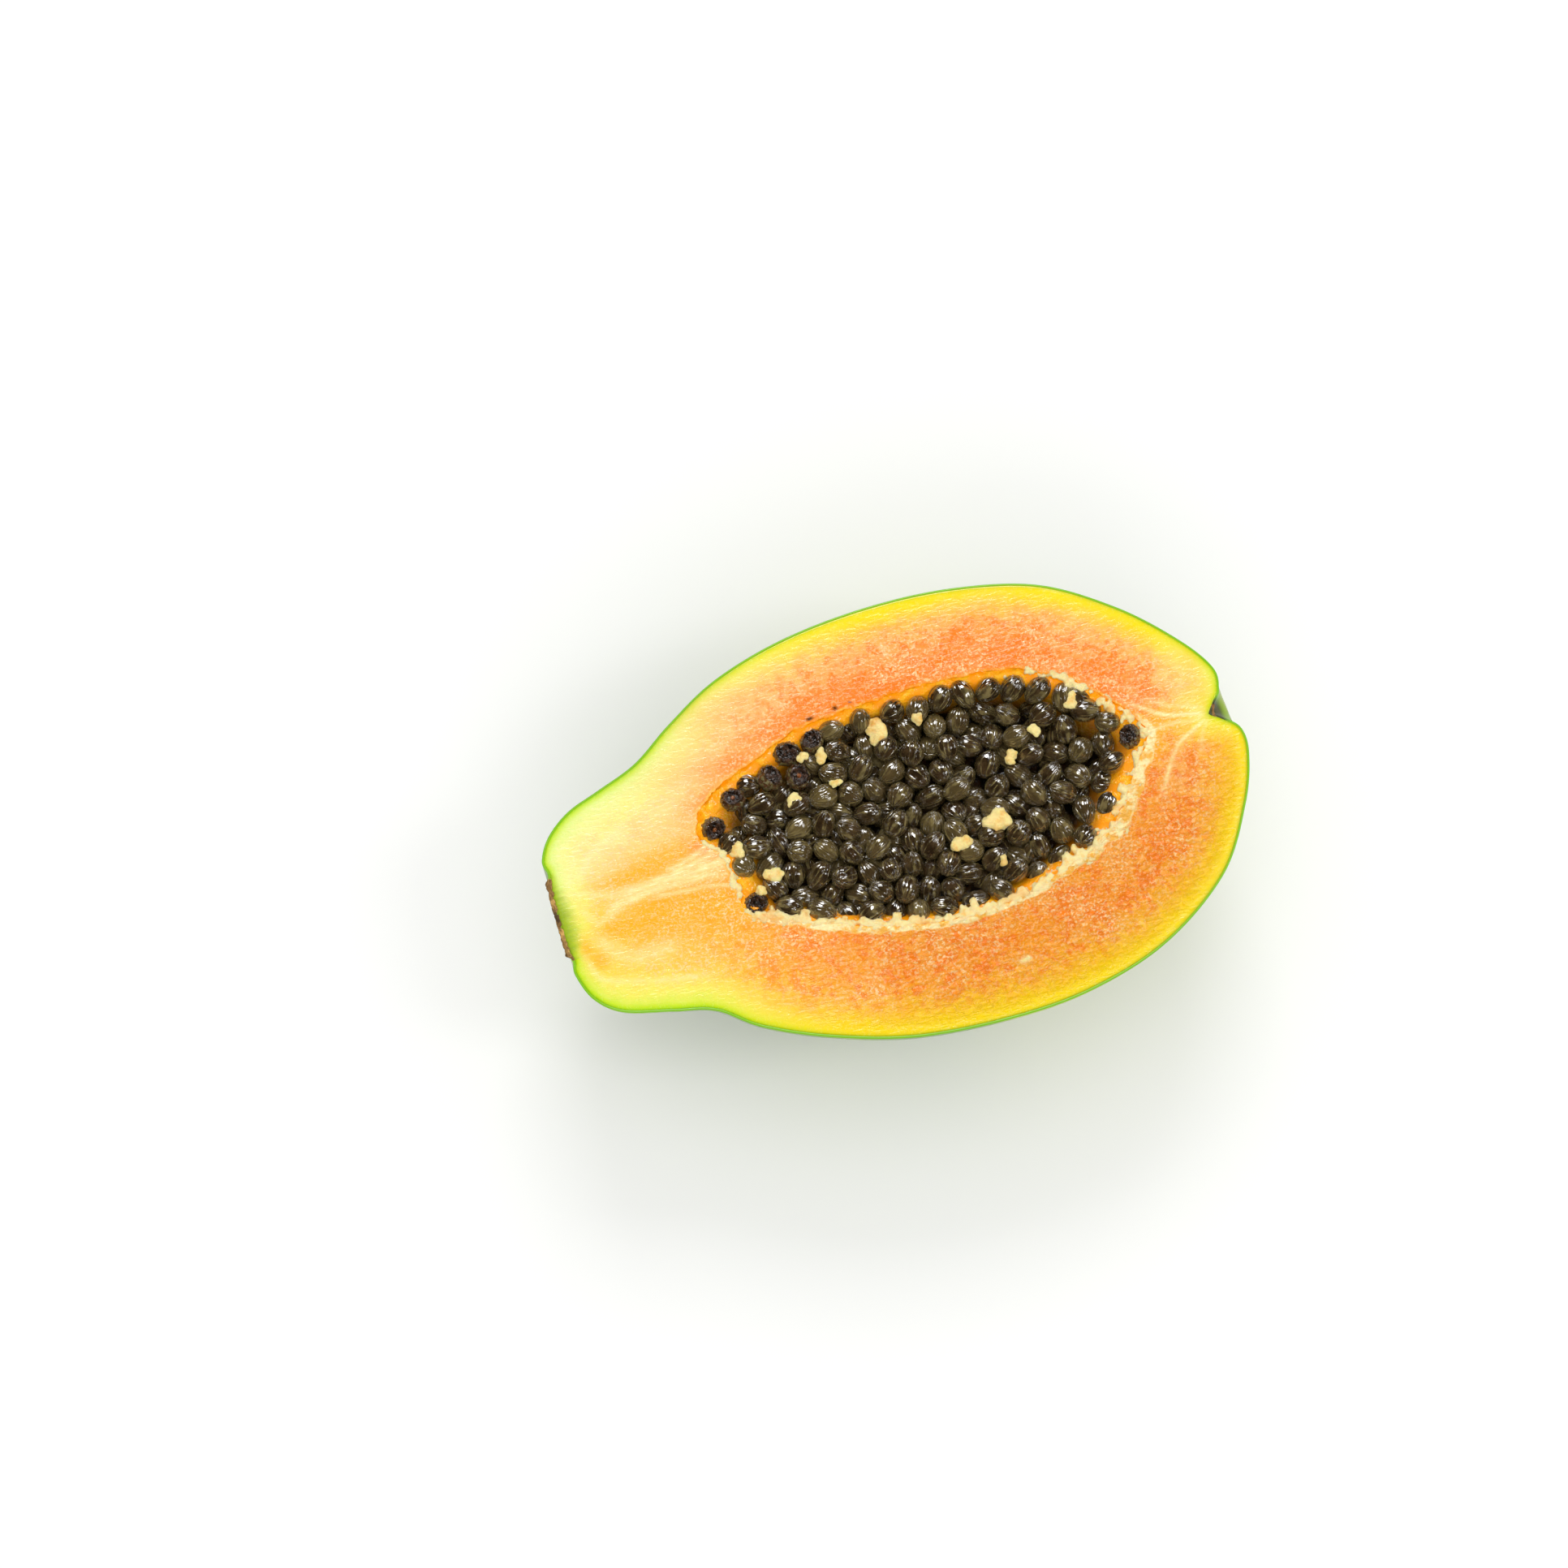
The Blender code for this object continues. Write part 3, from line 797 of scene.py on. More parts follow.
@dataclass(frozen=True)
class FleshFinish:
    """Wet ripe flesh: green and yellow under the skin, orange inside, cream at the cavity, whose lip has a
    painted glow.

    The stops of body, far, neck and neck_far are millimetres from the skin, and those of
    wall are millimetres below the cut face; the wall darkens with depth as painted shade.
    """

    reach: float = 30.0
    body: tuple[Stop, ...] = (
        (0.0, "7f9c06"), (0.55, "c0c004"), (1.0, "ecd000"), (1.7, "fdd600"), (3.6, "fdcc00"),
        (6.0, "fdbe06"), (9.0, "fcae12"), (13.0, "fa9e14"), (20.0, "f99c14"),
    )
    far: tuple[Stop, ...] = (
        (0.0, "8aa806"), (0.55, "c8cc08"), (1.0, "f0dc04"), (2.0, "fbde02"), (4.0, "fbd026"),
        (6.0, "fbc444"), (9.0, "f9b04e"), (13.0, "f89634"), (19.0, "f88010"),
    )
    neck: tuple[Stop, ...] = (
        (0.0, "7fb406"), (0.6, "a4d606"), (1.2, "c8e41c"), (2.2, "e0ea50"), (4.5, "f2ea60"),
        (7.0, "fae05a"), (11.0, "fcce42"), (17.0, "fbbc34"), (24.0, "fbae20"),
    )
    neck_far: tuple[Stop, ...] = (
        (0.0, "7fb406"), (0.6, "a8da0c"), (1.2, "d2ea4c"), (2.2, "e6f288"), (4.5, "f2f294"),
        (7.5, "fbf08a"), (12.0, "fde692"), (17.0, "fcd67c"), (24.0, "fbb83c"),
    )
    # Painted shade: the cavity wall darkens from orange to brown the deeper it lies.
    wall: tuple[Stop, ...] = ((0.0, "ffb21c"), (3.0, "ffa410"), (6.0, "e88c10"), (12.0, "6a3c10"))
    broad: Blotches = Blotches(85.0, 0.35, 0.68)
    fine: Blotches = Blotches(430.0, 0.44, 0.62, 5.0)
    specks: Blotches = Blotches(1700.0, 0.5, 0.64, 2.0)
    waves: Blotches = Blotches(260.0, 0.2, 0.8)
    blush: str = "fb7c06"
    pale: str = "fbb66c"
    deep: str = "f57c04"
    # Pale specks: partly the flesh's own frosty cells, partly painted glints of wet sparkle.
    frost_and_painted_glint: str = "ffd79a"
    strand: str = "fdf0aa"
    dark: str = "2a1608"
    pith: str = "ffe9a8"
    pith_shade: str = "f8b440"
    green: str = "93ab22"
    gold: str = "fdb208"
    # A painted glow that lifts the cavity's lip and upper wall out of their shade.
    painted_glow_colour: str = "ff9c10"
    painted_glow: float = 0.3

    def ripeness(self, bench: Bench) -> Socket:
        """The colour by the distance from the skin, along a line that wavers.

        Args:
            bench: where it is laid out.

        Returns:
            The colour.
        """
        gap, far_side = bench.value("skin_gap"), bench.value("far_side")
        uneven = bench.math("SUBTRACT", bench.mottle(self.waves), 0.5)
        wander = bench.times(uneven, bench.fitted(gap, 0.5, 6.0, 0.0, 3.4))
        gap = bench.math("ADD", gap, wander)
        body, far, neck, neck_far = (
            bench.ramp(gap, self.reach, stops)
            for stops in (self.body, self.far, self.neck, self.neck_far)
        )
        sides = bench.mix(far_side, body, far), bench.mix(far_side, neck, neck_far)
        return bench.mix(bench.value("neck"), *sides)

    def material(self) -> Material:
        """Wires the finish, which reads the distances and marks that the flesh's mesh carries.

        Returns:
            The material.
        """
        bench = Surface("flesh_wet")
        broad, fine, specks = (bench.mottle(marks) for marks in (self.broad, self.fine, self.specks))
        inside = bench.fitted(bench.value("skin_gap"), 3.0, 12.0)
        softened = bench.math("ADD", 0.22, bench.times(bench.value("far_side"), 0.26))
        paled = bench.math("MAXIMUM", bench.times(broad, inside, softened), bench.value("pale"))
        not_neck = bench.math("SUBTRACT", 1.0, bench.value("neck"))
        # Pale specks, partly frosty cells and partly painted glints.
        frost_and_glint_specks = bench.times(specks, inside, bench.fitted(broad, 0.0, 1.0, 0.35, 0.8))
        frayed = bench.times(bench.math("SUBTRACT", fine, 0.5), 0.5)
        torn = bench.fitted(bench.math("ADD", bench.value("pith"), frayed), 0.35, 0.75)
        below = bench.value("wall_depth")
        colour = bench.layered(
            self.ripeness(bench),
            (
                (paled, self.pale),
                (bench.times(fine, inside, 0.9, not_neck), self.deep),
                (bench.times(bench.value("gold"), 0.8), self.gold),
                (bench.times(bench.value("blush"), 0.85), self.blush),
                (bench.value("green"), self.green),
                (frost_and_glint_specks, self.frost_and_painted_glint),
                (bench.value("strand"), self.strand),
                (torn, bench.mix(fine, self.pith, self.pith_shade)),
                # Painted shade: the cavity wall darkens with its depth below the cut face.
                (bench.fitted(below, 0.15, 1.2), bench.ramp(below, self.wall[-1][0], self.wall)),
                (bench.value("speck"), self.dark),
            ),
        )
        grain = bench.wet_grain()
        height = bench.times(grain["Height"], bench.value("juicy"))
        return bench.dress(
            Base_Color=colour,
            Roughness=bench.fitted(grain["Cells"], 0.3, 0.7, 0.12, 0.3),
            Normal=bench.bump(height, 0.7, 0.6),
            Specular_IOR_Level=0.7,
            Subsurface_Weight=0.2,
            Subsurface_Radius=(1.0, 0.5, 0.1),
            Subsurface_Scale=0.003,
            # Painted glow on the cavity's lip and upper wall.
            Emission_Color=bench.mix(bench.value("lip"), BLACK, self.painted_glow_colour),
            Emission_Strength=self.painted_glow,
        )


@dataclass(frozen=True)
class SkinFinish:
    """Smooth waxy skin, green with yellower patches, and brown in the blossom pit."""

    patches: Blotches = Blotches(22.0, 0.42, 0.66, 2.5)
    clouds: Blotches = Blotches(75.0, 0.3, 0.7, 5.0)
    pores: Blotches = Blotches(1100.0, 0.66, 0.74, 1.0)
    ripples_per_metre: float = 160.0
    green: str = "6f9a08"
    deep: str = "547c06"
    yellow: str = "c2cc18"
    bright: str = "84c406"
    pit: str = "27330f"
    dry: str = "50512a"

    def material(self) -> Material:
        """Wires the finish.

        Returns:
            The material.
        """
        bench = Surface("skin_waxy")
        clouds = bench.mottle(self.clouds)
        colour = bench.layered(
            bench.mix(clouds, self.deep, self.green),
            (
                (bench.times(bench.mottle(self.patches), 0.7), self.yellow),
                (bench.times(bench.mottle(self.pores), 0.25), self.yellow),
                (bench.value("cut_edge"), self.bright),
                (bench.value("pit"), bench.mix(clouds, self.pit, self.dry)),
            ),
        )
        ripples = bench.cloud(Vector=bench.spot(), Scale=self.ripples_per_metre, Detail=3.0)
        return bench.dress(
            Base_Color=colour,
            Roughness=bench.fitted(clouds, 0.0, 1.0, 0.3, 0.42),
            Normal=bench.bump(ripples, 0.25, 0.6),
            Coat_Weight=0.25,
            Coat_Roughness=0.2,
        )


@dataclass(frozen=True)
class PithFinish:
    """Torn cream pith, ochre where it is thin or folded."""

    name: str = "pith_torn"
    cream: str = "ffe3a0"
    ochre: str = "fbb544"
    shade: str = "f69c28"
    folds: Blotches = Blotches(420.0, 0.45, 0.72, 4.0)
    wet: Blotches = Blotches(130.0, 0.5, 0.7)

    def material(self) -> Material:
        """Wires the finish.

        Returns:
            The material.
        """
        bench = Surface(self.name)
        folds, wet = bench.mottle(self.folds), bench.mottle(self.wet)
        folded, wetted = bench.times(folds, 0.7), bench.times(wet, 0.5)
        grain = bench.wet_grain(Cells_Per_Metre=2600.0, Pits_Per_Metre=900.0, Pit_Depth=0.6)
        return bench.dress(
            Base_Color=bench.layered(self.cream, ((folded, self.ochre), (wetted, self.shade))),
            Roughness=bench.fitted(wet, 0.0, 1.0, 0.6, 0.3),
            Normal=bench.bump(grain["Height"], 0.6, 0.3),
            Subsurface_Weight=0.5,
            Subsurface_Radius=(1.0, 0.65, 0.3),
            Subsurface_Scale=0.0025,
        )


@dataclass(frozen=True)
class SeedFinish:
    """A dark seed with lengthwise wrinkles under a clear wet coat."""

    clouds: Blotches = Blotches(420.0, 0.35, 0.7)
    broken: Blotches = Blotches(500.0, 0.35, 0.65, 2.0)
    wrinkle_scale: tuple = (17.0, 2.3, 1.0)
    spread: float = 40.0
    dark: str = "2b1f11"
    brown: str = "4b3820"
    olive: str = "6a5a35"
    rib: str = "9a8a58"
    edge: str = "b8a860"

    def wrinkles(self, bench: Bench, tone: Socket) -> Socket:
        """The height of the wrinkles, drawn out along the seed and different on each.

        Args:
            bench: where it is laid out.
            tone: the seed's own number.

        Returns:
            The height.
        """
        along = bench.node("UVMap", uv_map="along").outputs[0]
        drawn = bench.node("Mapping", {"Vector": along, "Scale": self.wrinkle_scale}).outputs[0]
        own = bench.node("CombineXYZ", {0: bench.times(tone, self.spread)}).outputs[0]
        shifted = bench.node("VectorMath", {0: drawn, 1: own}, operation="ADD").outputs[0]
        return bench.cloud(Vector=shifted, Scale=1.0, Detail=1.2, Roughness=0.5, Distortion=0.7)

    def material(self) -> Material:
        """Wires the finish, which reads each seed's own tone and the map along its length.

        Returns:
            The material.
        """
        bench = Surface("seed_wet")
        tone, clouds = bench.value("tone"), bench.mottle(self.clouds)
        wrinkles = self.wrinkles(bench, tone)
        patchy = bench.fitted(bench.mottle(self.broken), 0.0, 1.0, 0.15, 0.6)
        colour = bench.layered(
            bench.mix(clouds, self.dark, self.brown),
            (
                (bench.fitted(tone, 0.35, 1.0, 0.0, 0.85), self.olive),
                (bench.times(bench.fitted(wrinkles, 0.46, 0.66), patchy), self.rib),
            ),
        )
        return bench.dress(
            Base_Color=colour,
            Roughness=bench.fitted(clouds, 0.0, 1.0, 0.05, 0.14),
            Normal=bench.bump(wrinkles, 0.9, 1.1),
            Coat_Normal=bench.bump(wrinkles, 0.9, 0.6),
            IOR=1.9,
            Coat_Weight=1.0,
            Coat_IOR=1.9,
            Coat_Roughness=0.05,
            Sheen_Weight=0.22,
            Sheen_Roughness=0.2,
            Sheen_Tint=self.edge,
        )


@dataclass(frozen=True)
class TornSeedFinish:
    """A seed that the knife opened: a rough dark crust round a pale core."""

    clots: Blotches = Blotches(900.0, 0.4, 0.65)
    crust: str = "160c05"
    brown: str = "54341c"
    coat: str = "786c3c"
    core: str = "8a4a22"
    amber: str = "c27c40"

    def material(self) -> Material:
        """Wires the finish.

        Returns:
            The material.
        """
        bench = Surface("seed_torn")
        clots = bench.mottle(self.clots)
        shown = bench.times(bench.value("core"), bench.value("open"))
        colour = bench.layered(
            bench.mix(clots, self.crust, self.brown),
            (
                (bench.value("coat"), bench.mix(clots, self.brown, self.coat)),
                (shown, bench.mix(clots, self.core, self.amber)),
            ),
        )
        return bench.dress(
            Base_Color=colour,
            Roughness=bench.fitted(clots, 0.0, 1.0, 0.12, 0.4),
            Normal=bench.bump(clots, 0.8, 0.5),
            IOR=1.8,
            Coat_Weight=0.7,
            Coat_Roughness=0.08,
        )


@dataclass(frozen=True)
class CorkFinish:
    """Dry brown cork of the scars."""

    flakes: Blotches = Blotches(520.0, 0.35, 0.65, 5.0)
    stains: Blotches = Blotches(180.0, 0.45, 0.7)
    light: str = "d4a65a"
    brown: str = "8a6230"
    dark: str = "33230f"

    def material(self) -> Material:
        """Wires the finish.

        Returns:
            The material.
        """
        bench = Surface("cork_dry")
        flakes = bench.mottle(self.flakes)
        stained = bench.times(bench.mottle(self.stains), 0.8)
        colour = bench.mix(stained, bench.mix(flakes, self.brown, self.light), self.dark)
        return bench.dress(Base_Color=colour, Normal=bench.bump(flakes, 0.8, 0.5), Roughness=0.8)


@dataclass(frozen=True)
class PulpFinish:
    """The dark wet pulp deep between the seeds, whose near-black is partly painted shade in
    the gaps, and the bright gel at the cavity's edge, which has a painted glow.
    """

    clots: Blotches = Blotches(300.0, 0.4, 0.7)
    # Painted shade: the near-black pulp darkens the gaps between the seeds.
    dark: str = "0f0a05"
    brown: str = "3a2410"
    gel: str = "fb9a06"
    cream: str = "fdb81c"
    # A painted glow on the gel at the cavity's edge.
    painted_glow: float = 0.28

    def material(self) -> Material:
        """Wires the finish.

        Returns:
            The material.
        """
        bench = Surface("pulp_painted_shade_and_glow")
        clots, edge = bench.mottle(self.clots), bench.value("edge")
        gel = bench.mix(clots, self.gel, self.cream)
        return bench.dress(
            Base_Color=bench.mix(edge, bench.mix(clots, self.dark, self.brown), gel),
            Normal=bench.bump(clots, 0.6, 0.8),
            Roughness=0.25,
            Subsurface_Weight=0.2,
            Subsurface_Scale=0.002,
            # Painted glow on the gel at the cavity's edge.
            Emission_Color=bench.mix(edge, BLACK, gel),
            Emission_Strength=self.painted_glow,
        )


@dataclass(frozen=True)
class Streak:
    """A pale strand in the flesh: its course, half width and strength."""

    course: tuple
    width: float
    strength: float

    def mask(self, spots: Places) -> Places:
        """How much of the strand shows: it frays, and fades towards its ends.

        Args:
            spots: x and y on the cut face, one row each.

        Returns:
            A share for each spot.
        """
        line = smooth_through(self.course, 16, closed=False)
        tree = tree_over(line)
        shown = np.zeros(len(spots))
        for k, (x, y) in enumerate(spots):
            _, nearest, gap = tree.find((x, y, 0.0))
            if gap < 3 * self.width:
                share = nearest / (len(line) - 1)
                fade = min(1.0, 6 * share + 0.25, 6 * (1 - share) + 0.1)
                fray = 0.75 + 0.5 * noise.noise(Vector((x * 0.35, y * 1.6, self.width)))
                shown[k] = fade * fray * math.exp(-((gap / self.width) ** 2))
        return np.clip(shown * self.strength, 0, 1)


@dataclass(frozen=True)
class Patch:
    """A soft round mark on the cut face: its middle, its radii and its strength."""

    x: float
    y: float
    long: float
    wide: float
    strength: float

    def mask(self, spots: Places) -> Places:
        """How much of the mark shows at each spot."""
        away = (spots - (self.x, self.y)) / (self.long, self.wide)
        return self.strength * np.exp(-(away**2).sum(axis=1))


@dataclass
class FruitHalf:
    """The skin and the flesh, which meet in the green line round the cut face."""

    stations: int = 320
    skin_segments: int = 84
    wall_segments: int = 14
    skin_thickness: float = 0.5
    flesh_inset: float = 0.46
    face_rows: int = 62
    cavity_rows: int = 20
    lip_angles: tuple = (0.8, 2.2)
    rim_count: int = 2400
    blossom_pit: tuple = (162.0, 0.0, 0.0)
    near_side: Sector = Sector(-176, -150, -16, 8)
    blossom_side: Sector = Sector(-44, -22, 0, 14)
    green_wedge: tuple = (
        (-12, 0), (-9.6, 2.4), (-6.6, 4.2), (-3, 4.8), (0, 4.6), (5, 3.4), (8, 2.6), (9.6, 2.0), (12, 0),
    )
    streaks: tuple[Streak, ...] = (
        Streak(((3.6, 4.9), (7.5, 3.6), (11.1, 2.5), (14.5, 0.8), (19.6, 0.4)), 0.8, 0.55),
        Streak(((5.6, 1.0), (7.1, -2.4), (9.1, -4.0), (12.2, -2.4), (16.0, -0.8)), 0.8, 0.5),
        Streak(
            ((10.0, -3.6), (14.6, -1.2), (20.0, -0.4), (26.0, -0.3), (34.0, -0.6), (42.4, -2.2)), 1.2, 0.85
        ),
        Streak(((13.0, 1.0), (19.6, 1.0), (26.0, 1.6), (33.0, 2.6), (42.6, 4.6)), 1.1, 0.95),
        Streak(((24.0, 0.6), (33.0, 1.0), (43.0, 1.0)), 2.0, 0.9),
        Streak(((20.5, -1.6), (26.7, -2.4), (31.3, -2.8), (38.0, -3.8), (42.4, -5.6)), 0.6, 0.6),
        Streak(((27.0, 2.8), (34.0, 4.4), (38.6, 6.2)), 0.8, 0.8),
        Streak(((7.1, -6.5), (9.6, -10.5), (13.7, -13.8), (19.8, -14.4), (25.5, -14.1)), 1.9, 0.5),
        Streak(
            ((3.2, -9.8), (4.5, -15.0), (6.8, -17.6), (14.8, -20.2), (23.6, -22.4), (31.0, -23.6)), 0.7, 0.5
        ),
        Streak(((6.1, 6.7), (8.9, 9.6), (11.6, 12.3), (14.6, 13.6), (22.0, 17.0)), 1.5, 0.5),
        Streak(((4.6, 5.8), (6.4, 10.4), (10.4, 15.6), (18.0, 20.0)), 1.1, 0.4),
        Streak(((160.0, 0.3), (155.0, 1.6), (149.5, 3.4), (141.5, 9.6)), 0.55, 0.85),
        Streak(((160.0, -0.2), (155.5, -0.2), (150.5, 0.6), (147.0, 0.2)), 0.5, 0.8),
        Streak(((160.0, -0.6), (155.5, -2.6), (151.0, -5.0), (147.0, -10.0), (143.5, -16.0)), 0.5, 0.8),
        Streak(((160.0, -0.8), (157.5, -4.0), (155.5, -9.0)), 0.5, 0.45),
        Streak(((160.0, 0.8), (157.0, 3.0), (152.0, 4.8), (146.0, 9.0)), 0.8, 0.4),
        Streak(((99.4, -42.2), (100.6, -42.6), (102.2, -42.0)), 0.8, 0.9),
    )
    blushes: tuple[Patch, ...] = (
        Patch(38.0, 5.6, 3.2, 2.6, 1.0), Patch(42.0, 16.0, 5.0, 3.0, 0.7),
        Patch(50.0, 22.5, 7.0, 3.4, 0.8), Patch(61.0, 27.6, 7.0, 3.0, 0.85),
        Patch(70.0, 31.0, 5.0, 3.6, 0.8), Patch(82.0, 31.0, 8.0, 3.4, 0.6),
        Patch(120.0, 29.0, 8.0, 3.4, 0.9), Patch(104.0, 31.0, 10.0, 3.0, 0.5),
        Patch(112.0, 36.5, 6.0, 3.4, 0.5), Patch(142.0, -24.0, 8.0, 7.0, 0.45),
        Patch(118.0, -35.0, 12.0, 5.0, 0.4), Patch(56.0, -25.0, 10.0, 4.0, 0.35),
        Patch(86.0, -36.0, 16.0, 5.0, 0.3),
    )
    golds: tuple[Patch, ...] = (
        Patch(6.5, -12.4, 2.8, 3.4, 1.0), Patch(4.0, -8.6, 1.6, 2.6, 0.8),
        Patch(16.5, 4.4, 7.0, 1.7, 1.0), Patch(25.0, 6.4, 6.0, 2.6, 0.7),
        Patch(12.0, -6.6, 5.0, 2.6, 0.9), Patch(24.0, -6.6, 11.0, 4.2, 0.9),
        Patch(38.0, -10.0, 7.0, 7.0, 0.7), Patch(151.0, 2.0, 6.0, 3.5, 0.9),
        Patch(146.5, -2.5, 3.0, 5.0, 0.8), Patch(160.0, 10.0, 3.0, 8.0, 0.5),
        Patch(158.0, -14.0, 4.0, 8.0, 0.5),
    )
    pales: tuple[Patch, ...] = (
        Patch(56.0, 34.5, 14.0, 6.0, 0.75), Patch(40.0, 24.0, 12.0, 5.0, 0.5),
        Patch(84.0, 37.5, 14.0, 3.6, 0.35), Patch(112.0, 42.0, 12.0, 3.0, 0.3),
        Patch(136.0, 26.0, 8.0, 6.0, 0.4), Patch(150.0, -12.0, 6.0, 7.0, 0.35),
    )
    specks: tuple[Patch, ...] = (
        Patch(70.4, 27.6, 0.8, 0.4, 1.4), Patch(76.9, 28.2, 0.5, 0.5, 1.4),
        Patch(80.6, 28.6, 0.25, 0.25, 1.0),
    )

    def build_skin(self) -> Piece:
        """The skin as a thin closed shell: outside, rim and inside in one drawn-out grid.

        Returns:
            The piece.
        """
        outside = FORM.skin_grid(self.stations, self.skin_segments)
        inside = FORM.inset(outside, self.skin_thickness)
        shell = np.concatenate([outside, inside[:, ::-1], outside[:, :1]], axis=1)
        skin = sheet_of("papaya_skin", shell)
        closed_up(skin)
        spots = places_of(skin)
        away = np.linalg.norm(spots - np.array(self.blossom_pit), axis=1)
        point_values(skin, "pit", eased(away, 4.4, 2.2))
        point_values(skin, "cut_edge", eased(spots[:, 2], -2.2, -0.3))
        return skin

    def face_points(self, edge: Places) -> Places:
        """Points of the cut face and of the cavity's wall, from the skin to the bowl's bottom.

        Args:
            edge: the flesh's outer edge on the cut face.

        Returns:
            Rows by columns by 3, the last column a copy of the first.
        """
        rim, inward = FORM.torn_rim(self.rim_count)
        turn = np.unwrap(np.radians(FORM.bearing(edge[:, :2])))
        rim = rim + inward * (0.22 * rough_at(lifted(rim), 0.9))[:, None]
        bearing = np.radians(FORM.bearing(rim))
        order = np.argsort(bearing)
        round_it = {"xp": bearing[order], "period": 2 * math.pi}
        lip = np.column_stack([np.interp(turn, fp=rim[order, k], **round_it) for k in (0, 1)])
        share = np.linspace(0, 1, self.face_rows)[:, None, None]
        flat = edge[None, :, :2] + (lip - edge[:, :2])[None] * share
        face = np.concatenate([flat, np.zeros((*flat.shape[:2], 1))], axis=2)
        wall = np.concatenate([self.lip_angles, np.linspace(0, 90, self.cavity_rows)[1:]])
        angle = np.radians(wall)[:, None, None]
        middle = np.array(FORM.middle)
        bowl = middle + (lip - middle)[None] * np.cos(angle).clip(0) ** FORM.bowl_fullness
        depth = np.broadcast_to(-FORM.cavity_depth * np.sin(angle), (*bowl.shape[:2], 1))
        points = np.concatenate([face, np.concatenate([bowl, depth], axis=2)], axis=0)
        return np.concatenate([points, points[:, :1]], axis=1)

    def gaps(self, flat: Places, outline: Places) -> tuple[Places, Places]:
        """How far spots of the cut face lie from the skin and from the cavity.

        Args:
            flat: the spots.
            outline: the skin's edge on the cut face.

        Returns:
            The distances to the skin, and those to the cavity, which are below 0 inside it.
        """
        rim, inward = FORM.torn_rim(self.rim_count)
        skin, cavity = tree_over(smooth_through(outline, 6, closed=True)), tree_over(rim)
        nearest = [cavity.find((x, y, 0.0))[1] for x, y in flat]
        skin_gap = np.array([skin.find((x, y, 0.0))[2] for x, y in flat])
        return skin_gap, -((flat - rim[nearest]) * inward[nearest]).sum(axis=1)

    def pith(self, flat: Places, cavity_gap: Places) -> Places:
        """How much the cavity's edge is pith: broadly on the near side and at the blossom end.

        Args:
            flat: spots of the cut face.
            cavity_gap: how far they lie from the cavity.

        Returns:
            A share for each spot.
        """
        bearing = FORM.bearing(flat)
        near_side, blossom = self.near_side.share(bearing), self.blossom_side.share(bearing)
        width = 0.6 + 1.1 * near_side + 1.8 * blossom
        width *= 1 + 0.35 * rough_at(lifted(flat), 4.0)
        return eased(cavity_gap / width, 1.35, 0.55) * (0.35 + 0.65 * np.maximum(near_side, blossom))

    def marks(self, spots: Places, skin_gap: Places, cavity_gap: Places) -> dict[str, Places]:
        """What the flesh's finish reads at each point.

        Args:
            spots: the points.
            skin_gap: how far they lie from the skin.
            cavity_gap: how far they lie from the cavity.

        Returns:
            The numbers by name.
        """
        flat = spots[:, :2]
        x, y, z = spots.T
        far_side = eased(y, -4, 12)
        from_blossom = np.linalg.norm((flat - (162.0, 3.0)) / (1.0, 1.5), axis=1)
        stem_end = eased(x, 62, 20) * (1 - far_side) + eased(x, 92, 24) * far_side
        wedge = np.interp(y, *zip(*self.green_wedge))
        fibres = 0.8 * rough_at(lifted(flat * (0.14, 1.0)), 0.8)
        green = 0.95 * eased(x + 0.6 - fibres, wedge + 1.2, wedge * 0.1) * (wedge > 0)
        juicy = 0.16 + 0.9 * eased(y, 12, -30) * eased(x, 40, 90)
        # The mask of the painted glow: the cavity's lip and the wall just below it.
        lip = eased(cavity_gap, 0.8, -0.2) * eased(z, -6.0, -2.0)
        streaks = np.max([streak.mask(flat) for streak in self.streaks], axis=0)
        marks = {
            "skin_gap": skin_gap,
            "neck": np.maximum(stem_end, 0.6 * eased(from_blossom, 18, 4) * eased(y, -9, 0)),
            "far_side": far_side,
            "strand": streaks * (1 - green),
            "green": green,
            "pith": self.pith(flat, cavity_gap),
            "wall_depth": np.where(cavity_gap < 0.5, -z, 0.0).clip(0),
            "juicy": juicy * (eased(skin_gap, 0.6, 4.0) * 0.85 + 0.15),
            "lip": np.where(cavity_gap < 0.9, lip, 0.0),
        }
        patches = {"blush": self.blushes, "gold": self.golds, "pale": self.pales, "speck": self.specks}
        for name, group in patches.items():
            marks[name] = np.clip(sum(patch.mask(flat) for patch in group), 0, 1)
        return marks

    def relieved(self, spots: Places, cavity_gap: Places, marks: dict[str, Places]) -> Places:
        """Gives the cut face its low relief, and the cavity an uneven wall.

        Args:
            spots: the flesh's points.
            cavity_gap: how far they lie from the cavity.
            marks: what the finish reads.

        Returns:
            The moved points.
        """
        flat = spots[:, :2]
        level = lifted(flat)
        on_face = (spots[:, 2] > -0.02) & (cavity_gap > -0.5)
        relief = 0.16 * rough_at(level, 11.0) + 0.07 * marks["juicy"] * rough_at(level, 1.5)
        relief += marks["pith"] * (0.2 + 0.22 * rough_at(level, 0.9)) - 0.2 * eased(cavity_gap, 1.2, 0.0)
        spots[:, 2] += np.where(on_face, relief * eased(marks["skin_gap"], 0.5, 1.5), 0)
        above_bottom = spots[:, 2] > -FORM.cavity_depth + 1
        on_wall = (spots[:, 2] < -0.5) & (cavity_gap < 0.2) & above_bottom
        toward = lifted(flat - FORM.middle)
        toward /= np.linalg.norm(toward, axis=1, keepdims=True) + 1e-9
        return spots + toward * np.where(on_wall, 0.35 * rough_at(spots, 2.2), 0)[:, None]

